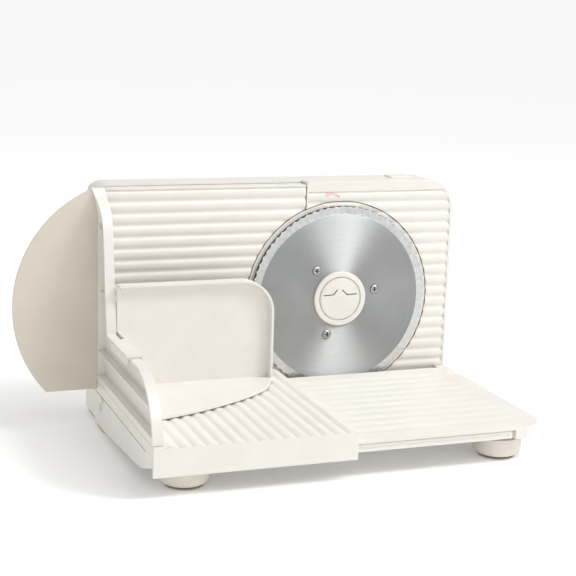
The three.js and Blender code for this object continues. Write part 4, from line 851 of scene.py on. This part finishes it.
def make_dial():
    back, end = SCOOP_FLOOR + GAP, SCOOP_FLOOR + GAP + 4
    base = spun("thickness_knob", "y", (DIAL_X, DIAL_Z), [
        (7.3, end - 0.3), (0, end - 0.3), (0, end), (19.4, end), (20.4, end - 0.5), (21, back + 2.6),
        (21, back + 0.8), (20.2, back), (7.3, back)], 96)
    reach = DIAL_FACE + 17.5 - end + GAP
    fin = drawn("fin", "x", arc(end - GAP, DIAL_Z, reach, 19.6, -90, 90, 32), DIAL_X - 4, DIAL_X + 4)
    ease(fin, 1.6, 4, 60)
    for side in (-1, 1):
        cut(fin, drawn("grip", "x", arc(end + 3, DIAL_Z, reach - 7.5, 13.5, -90, 90, 24),
                       DIAL_X + side * 3.3, DIAL_X + side * 5))
    add(base, fin)
    cream(base, "dial", "thickness_dial")
    corners = [(end + 2, DIAL_Z + 18.6), (end + 9, DIAL_Z + 16.6), (end + 9, DIAL_Z + 15.6),
               (end + 2, DIAL_Z + 17.6)]
    mark = drawn("knob_mark", "x", corners, DIAL_X - 4.05, DIAL_X - 3.4)
    ease(mark, 0.1, 2, 40)
    fit_out(mark, "dial", "dark_plastic", finish("printed_grey"))


def make_button():
    middle, foot, face = (136, 27), 226.9, TOP + 1.8
    outline = rounded([(124, 18.25, 4), (148, 18.25, 4), (148, 35.75, 4), (124, 35.75, 4)], 8)
    cap = drawn("power_cap", "z", outline, foot, face)
    round_edges(cap, lies(z=face), 1.5, 5)
    skirt = rounded([(122.8, 17.05, 5.2), (149.2, 17.05, 5.2), (149.2, 36.95, 5.2), (122.8, 36.95, 5.2)], 8)
    add(cap, drawn("skirt", "z", skirt, foot, 229.7), rod("stem", "z", middle, 3, 223.8, 228, 40))
    cut(cap, spun("dish", "z", middle, [
        (0, TOP + 1.35), (4, TOP + 1.5), (6.4, TOP + 1.9), (6.4, TOP + 4), (0, TOP + 4)], 64))
    cream(cap, "button", "power_button")


# Blade and hub


def make_blade():
    sizes = bpy.context.scene.slicer_sizes
    per_tooth = 12
    count = sizes.teeth * per_tooth
    depth = sizes.tooth_depth / MM
    bore, ground = 24, 86.3
    middle = at(BLADE_X, 0, BLADE_Z)
    let_go()
    bpy.ops.mesh.primitive_circle_add(vertices=count, radius=bore * MM, fill_type="NOTHING",
                                      location=at(BLADE_X, BLADE_BACK, BLADE_Z), rotation=(math.pi / 2, 0, 0))
    piece = settle("round_blade")
    rings = [(bore, BLADE_FRONT + 0.15), (24.15, BLADE_FRONT), (86.2, BLADE_FRONT), (86.5, BLADE_FRONT + 0.12),
             (91.4, BLADE_FRONT + 0.6), (BLADE_R, -3.1), (BLADE_R, -2.9), (91.5, BLADE_BACK),
             (88, BLADE_BACK), (bore, BLADE_BACK)]
    open_mesh(piece, "EDGE")
    bpy.ops.mesh.select_all(action="SELECT")
    here, height = bore, BLADE_BACK
    for radius, level in rings:
        bpy.ops.mesh.extrude_edges_move(TRANSFORM_OT_translate={"value": shift(0, level - height, 0)})
        size = radius / here
        bpy.ops.transform.resize(value=(size, 1, size), center_override=at(BLADE_X, level, BLADE_Z))
        here, height = radius, level
    bpy.ops.mesh.select_all(action="SELECT")
    bpy.ops.mesh.remove_doubles(threshold=MEET / 2 * MM)
    bpy.ops.mesh.normals_make_consistent(inside=False)
    bpy.ops.object.mode_set(mode="OBJECT")

    def from_axis(place):
        return spot(place).x - BLADE_X, spot(place).z - BLADE_Z

    def scallop(share, low, high, reach, behind):
        """Draws in one vertex of every tooth between two radii, in front of a depth"""
        def of_share(corners):
            x, z = corners[0].x - BLADE_X, corners[0].z - BLADE_Z
            turn = round(math.atan2(z, x) / (2 * math.pi) * count)
            return low < math.hypot(x, z) < high and corners[0].y < behind and turn % per_tooth == share

        open_mesh(piece, "VERT")
        choose(piece, "verts", of_share)
        size = 1 - math.sin(math.pi * share / per_tooth) ** 0.8 * reach / high
        bpy.ops.transform.resize(value=(size, 1, size), center_override=middle)
        bpy.ops.object.mode_set(mode="OBJECT")

    for share in range(1, per_tooth):
        scallop(share, 94.5, 95.5, depth, OVER)
        scallop(share, 91.2, 91.6, 1.6 * depth, BLADE_BACK - 0.2)
    sinks = [rod("sink", "y", place, 4.8, BLADE_FRONT - 1, BLADE_FRONT + 0.7, 40) for place in HUB_SCREW_PLACES]
    cut(piece, gathered(sinks))
    for face in piece.data.polygons:
        face.material_index = int(math.hypot(*from_axis(face.center)) > ground)
    fit_out(piece, "blade_rotor", "blade_steel", finish("ring_brushed"), "blade", angle=20,
            second=finish("ground_steel"))


def make_hub():
    front = -6.3
    ring = spun("hub_collar", "y", HUB, [
        (12, -4.4), (22.5, -4.4), (22.5, front + 0.4), (23, front), (26.9, front), (27.7, front + 0.3),
        (28, front + 0.9), (28, -4.3), (23.7, -4.3), (23.7, BLADE_BACK), (12, BLADE_BACK)], 128)
    cream(ring, "blade_rotor", "hub_ring")
    face = front - GAP
    cap = spun("lock_knob", "y", HUB, [
        (0, face), (20.1, face), (20.5, face + 0.3), (20.9, face + 0.3), (21.2, face), (21.5, face + 0.1),
        (21.8, face + 0.5), (21.8, -4.7), (7, -4.7), (7, 4.9), (0, 4.9)], 128)
    add(cap, block("ears", (60.75, 66.25), (1.9, 4.9), (103.2, 123.8)))
    x, z = HUB
    for line in ([(-17.7, 3.8), (-7.4, 4.5), (-3.7, 9.2)], [(17.7, 4.3), (7.4, 4.1), (2.3, 8.7)]):
        for (a, b), (c, d) in zip(line, line[1:]):
            along = Vector((c - a, d - b)).normalized() * 0.5
            side = Vector((-along.y, along.x)) * 0.95
            ends = (Vector((x + a, z + b)) - along, Vector((x + c, z + d)) + along)
            outline = [ends[0] + side, ends[1] + side, ends[1] - side, ends[0] - side]
            # The grooves' faces take the black second finish, so the lines show dark
            cut(cap, marked(drawn("groove", "y", outline, face - 1, face + 1.1)))
    fit_out(cap, "blade_lock", "ivory", finish("cream_plastic"), "blade_lock_cap",
            second=finish("black_plastic"))
    for i, place in enumerate(HUB_SCREW_PLACES):
        cross_screw(f"hub_screw_{i + 1}", "blade_rotor", f"blade_screw_{i + 1}", place, look="grey_steel",
                    seat=-4.3, way=-1, radius=4.25, height=1.1, shank=1.9, length=7.9)


# Table


def make_table():
    rib_depth = bpy.context.scene.slicer_sizes.table_ribs / MM

    def plan(inset):
        half, rear, step, front = HALF - inset, TABLE_SIDE - inset, TABLE_STEP - inset, TABLE_FRONT + inset
        return rounded([(-rear, TABLE_REAR - inset), (-rear, step), (-half, step), (-half, front, 25 - inset),
                        (half, front, 25 - inset), (half, step), (rear, step), (rear, TABLE_REAR - inset)], 12)

    side = rounded([(TABLE_REAR, TABLE_TOP), (TABLE_REAR, 15.5), (TABLE_STEP, 15.5), (TABLE_STEP, 4),
                    (-105, 9, 80), (-177, 14.4, 30), (-204, 22.7, 20), (TABLE_FRONT, 22.7),
                    (TABLE_FRONT, TABLE_TOP)], 8)
    table = drawn("ribbed_table", "x", side, -HALF, HALF)
    shared(table, drawn("plan", "z", plan(0), 0, TABLE_TOP + 1))
    under = TABLE_TOP - WALL
    inside = drawn("hollow", "z", plan(WALL), -OVER, under)
    cut(table, shared(inside, block("keep", (-HALF, HALF), (-207.5, 0), (-OVER - 1, under + 1))))
    cut(table, block("recess", (-155, 155), (TABLE_FRONT - OVER, TABLE_FRONT + 4.5), (0, 31.2)))
    line = [(-place, TABLE_TOP - depth) for depth, place in ribs(17, 17.2, 11, rib_depth)]
    outline = [(line[0][0], TABLE_TOP + OVER)] + line + [(line[-1][0], TABLE_TOP + OVER)]
    # A cutter that narrows downwards lets the valleys fade out before the table's edges
    low, high = TABLE_TOP - 1.5, TABLE_TOP + OVER + 1
    faded = drawn("plan", "z", plan(4), low, high)
    open_mesh(faded, "VERT")
    choose(faded, "verts", lies(z=low))
    middle = at(0, (TABLE_FRONT + TABLE_REAR) / 2, low)
    bpy.ops.transform.resize(value=(0.9, 0.82, 1), center_override=middle)
    bpy.ops.object.mode_set(mode="OBJECT")
    cut(table, shared(drawn("valleys", "x", outline, -HALF, HALF), faded))
    # The lugs keep off the wall's faces by a tenth, so that no faces share a plane
    hinge, near, far = (HINGE_Y, HINGE_Z), 170.7, TABLE_SIDE - 0.1
    add(table, gathered([rod("lug", "x", hinge, 7.8, *ends, 64) for ends in ((-far, -near), (near, far))]))
    cut(table, gathered([rod("hole", "x", hinge, 3.3, *ends, 32)
                         for ends in ((-far - OVER, OVER - near), (near - OVER, far + OVER))]))
    cream(table, "table", "folding_table")


def make_feet():
    for sign, name in ((-1, "left"), (1, "right")):
        centre = (sign * 151.5, -186)
        foot = spun(f"foot_cup_{name}", "z", centre, [
            (0, 5.8), (17.5, 5.8), (17.5, 3.3), (17.9, 2.8), (18.6, 2.8), (20.1, 3.6), (21.4, 5.2),
            (22.3, 7.2), (22.8, 9.6), (23, 12.5), (23, 19.2), (22.6, 19.9), (21.9, 20.2), (17.6, 20.2),
            (17, 20.8), (17, 31.7), (0, 31.7)], 96)
        # The feet's darker finish is painted shade
        fit_out(foot, "table", "ivory", finish("foot_plastic"), f"foot_{name}")
        cup = spun(f"sucker_{name}", "z", centre, [
            (0, 2.5), (5, 2.3), (9, 1.5), (12.6, 0.1), (16.4, 0), (17, 0.25), (16.8, 0.7), (14.6, 1.7),
            (12.2, 2.7), (10.2, 3.9), (9.2, 4.8), (9, 5.5), (0, 5.5)], 96)
        fit_out(cup, "table", "rubber", finish("soft_rubber"), f"suction_cup_{name}")


def make_guide_bar():
    bar = block("carriage_rail", (-152, 152), (-213.5, -210.3), (23.3, 30.6))
    ease(bar, 0.7, 3)
    cut(bar, block("groove", (-148, 148), (-214, -213.1), (26.2, 27.7)))
    cream(bar, "carriage_guide", "guide_bar")


# Carriage


def make_tray():
    rib_depth = bpy.context.scene.slicer_sizes.tray_ribs / MM
    tray = block("ribbed_tray", (TRAY_LEFT, TRAY_RIGHT), (TRAY_FRONT, TRAY_REAR), (34.8, TRAY_TOP))
    add(tray, block("skirt", (TRAY_LEFT, TRAY_RIGHT), (TRAY_FRONT, TRAY_FRONT + WALL), (18.6, TRAY_TOP)))
    cut(tray, block("hollow", (TRAY_LEFT + WALL, TRAY_RIGHT - WALL),
                    (TRAY_FRONT + WALL, TRAY_REAR - WALL), (30, 41)))
    add(tray, block("hook", (-152, -18), (TRAY_FRONT + WALL - GAP, -213.8), (24, 30)))
    line = [(place, TRAY_TOP - depth) for depth, place in ribs(-177, 11.6, 15, rib_depth)]
    outline = [(line[0][0], TRAY_TOP + OVER)] + line + [(line[-1][0], TRAY_TOP + OVER)]
    cut(tray, drawn("valleys", "y", outline, TRAY_FRONT - OVER, TRAY_REAR + OVER))
    cream(tray, "carriage", "carriage_tray")


def wall_edge():
    """Front edge of the end wall from the top of the upright to the foot"""
    shares = [(0.947, 0.07), (0.904, 0.238), (0.787, 0.51), (0.59, 0.668), (0.341, 0.783), (0, 1)]
    upright = [(WALL_REAR - 38.8 * d, RAIL + (231.9 - RAIL) * h) for h, d in shares]
    return smooth_line(upright, 6), arc(-156, WALL_FOOT, 58.2, RAIL - WALL_FOOT, 90, 180, 32)


def make_end_wall():
    upright, band = wall_edge()
    tab, head = -3.1, 231.9
    outline = [(WALL_REAR, WALL_FOOT), (WALL_REAR, 225), (tab, 225), (tab, head), (WALL_REAR, head)]
    wall = drawn("end_wall", "x", outline + upright + band, TRAY_LEFT - OVER * 3, WALL_RIGHT)
    # Seen from the front, the upright leans over to the left towards its top
    rise = [(TOP + OVER - 35 * k / 8, (1 - k / 8) ** 2) for k in range(9)]
    front = [(TRAY_LEFT, WALL_FOOT - OVER), (WALL_RIGHT, WALL_FOOT - OVER)]
    front += [(WALL_RIGHT - 3.5 * lean, z) for z, lean in reversed(rise)]
    front += [(TRAY_LEFT - 7.5 * lean, z) for z, lean in rise]
    shared(wall, drawn("front", "y", front, TRAY_FRONT - OVER, 0))
    low = [point for point in upright if point[1] < 205]
    outside, back = TRAY_LEFT - OVER, WALL_RIGHT - 1.8
    inside = drawn_in([(WALL_REAR, WALL_FOOT), (WALL_REAR, low[0][1])] + low + band, 2.4)
    pocket = drawn("pocket", "x", inside, outside, back)
    shared(pocket, block("keep", (outside - 1, back + 1), (-214.2, WALL_REAR), (52, 225)))
    cut(pocket, block("rib", (outside - 1, back + 1), (-214.2, WALL_REAR), (73.8, 76.2)))
    cut(wall, pocket)
    for place in GUARD_SCREW_PLACES:
        add(wall, block("boss", (TRAY_LEFT + 1.8, back + GAP), (WALL_REAR - 7.3, WALL_REAR - GAP),
                        (place[1] - 2.8, place[1] + 2.8)))
        cut(wall, rod("hole", "y", place, 1.7, WALL_REAR - 7, WALL_REAR + OVER, 24))
    cream(wall, "carriage", "carriage_wall")


def make_guard():
    shoulder, foot, x, z, radius = TRAY_LEFT - GAP, 37.5, -146.5, 119, 121.5
    head = 224.7
    start = math.degrees(math.acos((shoulder - x) / radius))
    end = 180 + math.degrees(math.asin((z - foot) / radius))
    outline = [(shoulder, foot), (shoulder, WALL_FOOT), (WALL_RIGHT, WALL_FOOT), (WALL_RIGHT, head),
               (shoulder, head)]
    guard = drawn("side_guard", "y", outline + arc(x, z, radius, radius, start, end, 72), -9.5, -7.3)
    ease(guard, 0.7, 3, 50)
    for place in GUARD_SCREW_PLACES:
        cut(guard, rod("hole", "y", place, 1.7, -12, -4, 24))
    # The guard's darker finish is painted shade
    fit_out(guard, "carriage", "ivory", finish("guard_plastic"), "blade_guard")
    for i, place in enumerate(GUARD_SCREW_PLACES):
        cross_screw(f"guard_fixing_{i + 1}", "carriage", f"guard_screw_{i + 1}", place,
                    seat=-7, way=1, radius=2.8, height=1.4, shank=1.4, length=9)


def make_pusher():
    left, right, plate_front, plate_back, rim_front = -177.1, -24, -45, -42.5, -52
    foot, top = 45.7, 147

    def face(inset, low):
        return rounded([(left + inset, low), (right - inset, low), (right - inset, top - inset, 33 - inset),
                        (left + inset, top - inset, 2.5)], 14)

    pusher = drawn("food_holder", "y", face(0, foot), rim_front, plate_back)
    cut(pusher, drawn("inside", "y", face(2.5, foot - 1), rim_front - OVER, plate_front))
    cut(pusher, block("side", (left - 1, left + 2.6), (rim_front - 1, plate_front - 0.1),
                      (foot - 2, top - 2.6)))
    # Shelf and side end just inside the plate's faces, so that no faces share a plane
    near, far, inner = left + 0.05, right - 0.05, plate_back - 1
    reach = [(0, 0.064), (0.043, 0.17), (0.084, 0.279), (0.132, 0.359), (0.213, 0.457), (0.336, 0.577),
             (0.476, 0.69), (0.607, 0.783), (0.745, 0.862), (0.904, 0.935), (1, 0.97)]
    edge = smooth_line([(far - u * (far - near), plate_front - v * 109) for u, v in reach], 8)
    shelf = drawn("shelf", "z", [(near, inner), (far, inner)] + edge, foot + 0.05, 49)
    low, high, front = RAIL + GAP, RAIL + GAP + 2.2, -135
    saddle = block("saddle", (-190, left + 2.2), (front, -75), (low, high))
    lip = block("lip", (-190, -187.8), (front, -75), (low - 6.8, high))
    side = block("side", (left + 0.1, left + 2.3), (front + 0.1, plate_back - 0.5), (foot + 0.1, high - 0.1))
    add(pusher, shelf, side, add(saddle, lip))
    cream(pusher, "food_pusher", "pusher")


# Marks and inner pieces


def make_arrow():
    """The printed arrow that shows which way the blade turns"""
    x, z, clear = 52.6, 206.4, -6
    outline = arc(x, z, 14.6, 14.6, 50, 106, 12)
    outline += [(x - 4.3, z + 15.9), (x - 7.8, z + 11.3), (x - 3, z + 11.2)]
    outline += arc(x, z, 12.4, 12.4, 104, 50, 12)
    arrow = drawn("turning_arrow", "y", outline, clear, clear)
    open_mesh(arrow, "FACE")
    for k in range(1, 14):
        bpy.ops.mesh.select_all(action="SELECT")
        bpy.ops.mesh.bisect(plane_co=at(0, 0, z + 9 + 0.55 * k), plane_no=(0, 0, 1))
    bpy.ops.object.mode_set(mode="OBJECT")
    lay_on(arrow, bpy.data.objects["housing_front"], lift=0, thickness=0.1, side=0)
    fit_out(arrow, "base", "dark_plastic", finish("printed_red"))


def finish_inner():
    slots = {part["node"]: part["material_slot"] for part in frame["record"]["subparts"]}
    for name, node in frame["nodes"].items():
        made = finish(SLOT_FINISHES[slots[name]])
        for place in node.material_slots:
            place.material = made


# Studio


SENSOR = 36
PICTURE = 576


def look_from(place, yaw, pitch, roll, focal):
    """A camera turned from facing +Y, in degrees, with a focal length in pixels of the picture"""
    bpy.ops.object.camera_add(location=place)
    camera = bpy.context.object
    camera.name = "camera"
    turn = (Matrix.Rotation(math.radians(yaw), 4, "Z") @ Matrix.Rotation(math.radians(90 + pitch), 4, "X")
            @ Matrix.Rotation(math.radians(roll), 4, "Z"))
    camera.rotation_euler = turn.to_euler()
    camera.data.sensor_width = SENSOR
    camera.data.lens = focal / PICTURE * SENSOR
    bpy.context.scene.camera = camera


def lamp(name, place, aim, size, power):
    let_go()
    bpy.ops.object.light_add(type="AREA", location=place)
    light = bpy.context.object
    light.name = name
    light.data.shape = "RECTANGLE"
    light.data.size, light.data.size_y = size
    light.data.energy = power
    light.rotation_euler = (Vector(aim) - Vector(place)).to_track_quat("-Z", "Y").to_euler()


def make_floor():
    """A wide pale floor, whose far rim rises to the camera's horizon"""
    let_go()
    bpy.ops.mesh.primitive_plane_add(size=60, location=(0, 0, 0))
    bpy.ops.object.mode_set(mode="EDIT")
    bpy.ops.mesh.select_all(action="SELECT")
    bpy.ops.mesh.extrude_edges_move(TRANSFORM_OT_translate={"value": (0, 0, 0)})
    bpy.ops.transform.resize(value=(40, 40, 1), center_override=(0, 0, 0))
    bpy.ops.transform.translate(value=(0, 0, 12))
    floor = settle("studio_floor")
    made = Finish("studio_paper")
    colour = bpy.context.scene.slicer_colours.floor
    made.link(made.blend(made.noise(3), tint(colour, 0.995), tint(colour, 1.005)),
              made.shader.inputs["Base Color"])
    made.set(roughness=0.9, specular=0.1, lit=0.12)
    floor.data.materials.append(made.material)


def make_studio():
    let_go()
    look_from(at(-474.7, -1279.9, 416.6), yaw=-20.7, pitch=-12.0, roll=1.8, focal=1393.5)
    bpy.ops.object.light_add(type="SUN", location=(0.95, -0.5, 1.5))
    sun = bpy.context.object
    sun.name = "soft_sun"
    sun.data.energy = 0.74
    sun.data.angle = math.radians(50)
    sun.rotation_euler = Vector(sun.location).to_track_quat("Z", "Y").to_euler()
    middle = (0.1, 0.07, 0.11)
    lamp("key", (1.18, -0.65, 1.55), middle, size=(0.5, 0.5), power=15)
    # The wide light that the blade mirrors
    lamp("glint", (1.10, -0.75, 1.60), middle, size=(2.9, 0.9), power=66)
    bpy.context.object.visible_diffuse = False
    make_floor()
    world = bpy.data.worlds.new("studio_light")
    bpy.context.scene.world = world
    world.use_nodes = True
    sky = world.node_tree.nodes["Background"]
    sky.inputs["Color"].default_value = (1, 1, 1, 1)
    sky.inputs["Strength"].default_value = 0.65
    bpy.context.scene.view_settings.view_transform = "Standard"


# Operators


class SLICER_OT_inner(bpy.types.Operator):
    """Gives the CAD pieces their finishes"""

    bl_idname = "slicer.inner"
    bl_label = "Inner pieces"
    bl_options = {"REGISTER", "UNDO"}

    def execute(self, context):
        finish_inner()
        return {"FINISHED"}


class SLICER_OT_housing(bpy.types.Operator):
    """Models the front of the housing, its rear shell, scale and screws"""

    bl_idname = "slicer.housing"
    bl_label = "Housing"
    bl_options = {"REGISTER", "UNDO"}

    def execute(self, context):
        make_housing_front()
        make_housing_rear()
        make_housing_screws()
        make_gland()
        make_pads()
        return {"FINISHED"}


class SLICER_OT_plate(bpy.types.Operator):
    """Models the ribbed thickness plate"""

    bl_idname = "slicer.plate"
    bl_label = "Thickness plate"
    bl_options = {"REGISTER", "UNDO"}

    def execute(self, context):
        make_thickness_plate()
        return {"FINISHED"}


class SLICER_OT_dial(bpy.types.Operator):
    """Models the thickness dial"""

    bl_idname = "slicer.dial"
    bl_label = "Dial"
    bl_options = {"REGISTER", "UNDO"}

    def execute(self, context):
        make_dial()
        return {"FINISHED"}


class SLICER_OT_button(bpy.types.Operator):
    """Models the power button"""

    bl_idname = "slicer.button"
    bl_label = "Power button"
    bl_options = {"REGISTER", "UNDO"}

    def execute(self, context):
        make_button()
        return {"FINISHED"}


class SLICER_OT_blade(bpy.types.Operator):
    """Models the scalloped blade with its hub, lock and screws"""

    bl_idname = "slicer.blade"
    bl_label = "Blade"
    bl_options = {"REGISTER", "UNDO"}

    def execute(self, context):
        make_blade()
        make_hub()
        return {"FINISHED"}


class SLICER_OT_table(bpy.types.Operator):
    """Models the folding table with its feet and rail"""

    bl_idname = "slicer.table"
    bl_label = "Table"
    bl_options = {"REGISTER", "UNDO"}

    def execute(self, context):
        make_table()
        make_feet()
        make_guide_bar()
        return {"FINISHED"}


class SLICER_OT_carriage(bpy.types.Operator):
    """Models the tray, the end wall and the guard"""

    bl_idname = "slicer.carriage"
    bl_label = "Carriage"
    bl_options = {"REGISTER", "UNDO"}

    def execute(self, context):
        make_tray()
        make_end_wall()
        make_guard()
        return {"FINISHED"}


class SLICER_OT_pusher(bpy.types.Operator):
    """Models the food holder"""

    bl_idname = "slicer.pusher"
    bl_label = "Food holder"
    bl_options = {"REGISTER", "UNDO"}

    def execute(self, context):
        make_pusher()
        return {"FINISHED"}


class SLICER_OT_arrow(bpy.types.Operator):
    """Prints the turning arrow"""

    bl_idname = "slicer.arrow"
    bl_label = "Arrow"
    bl_options = {"REGISTER", "UNDO"}

    def execute(self, context):
        make_arrow()
        return {"FINISHED"}


class SLICER_OT_studio(bpy.types.Operator):
    """Sets up the camera, lights and floor"""

    bl_idname = "slicer.studio"
    bl_label = "Studio"
    bl_options = {"REGISTER", "UNDO"}

    def execute(self, context):
        make_studio()
        return {"FINISHED"}


OPERATORS = [
    SLICER_OT_inner, SLICER_OT_housing, SLICER_OT_plate, SLICER_OT_dial, SLICER_OT_button, SLICER_OT_blade,
    SLICER_OT_table, SLICER_OT_carriage, SLICER_OT_pusher, SLICER_OT_arrow, SLICER_OT_studio,
]


class SLICER_PT_panel(bpy.types.Panel):
    """Lists the slicer's sizes, colours and pieces"""

    bl_idname = "SLICER_PT_panel"
    bl_label = "Food slicer"
    bl_space_type = "VIEW_3D"
    bl_region_type = "UI"
    bl_category = "Slicer"

    def draw(self, context):
        for group in (context.scene.slicer_sizes, context.scene.slicer_colours):
            for key in group.__annotations__:
                self.layout.prop(group, key)
        for made in OPERATORS:
            self.layout.operator(made.bl_idname)


CLASSES = [SlicerSizes, SlicerColours, *OPERATORS, SLICER_PT_panel]


def register():
    for made in CLASSES:
        bpy.utils.register_class(made)
    bpy.types.Scene.slicer_sizes = PointerProperty(type=SlicerSizes)
    bpy.types.Scene.slicer_colours = PointerProperty(type=SlicerColours)


def unregister():
    del bpy.types.Scene.slicer_colours
    del bpy.types.Scene.slicer_sizes
    for made in reversed(CLASSES):
        bpy.utils.unregister_class(made)


def main():
    register()
    for made in OPERATORS:
        getattr(bpy.ops.slicer, made.bl_idname.split(".")[1])()


if __name__ == "__main__":
    main()
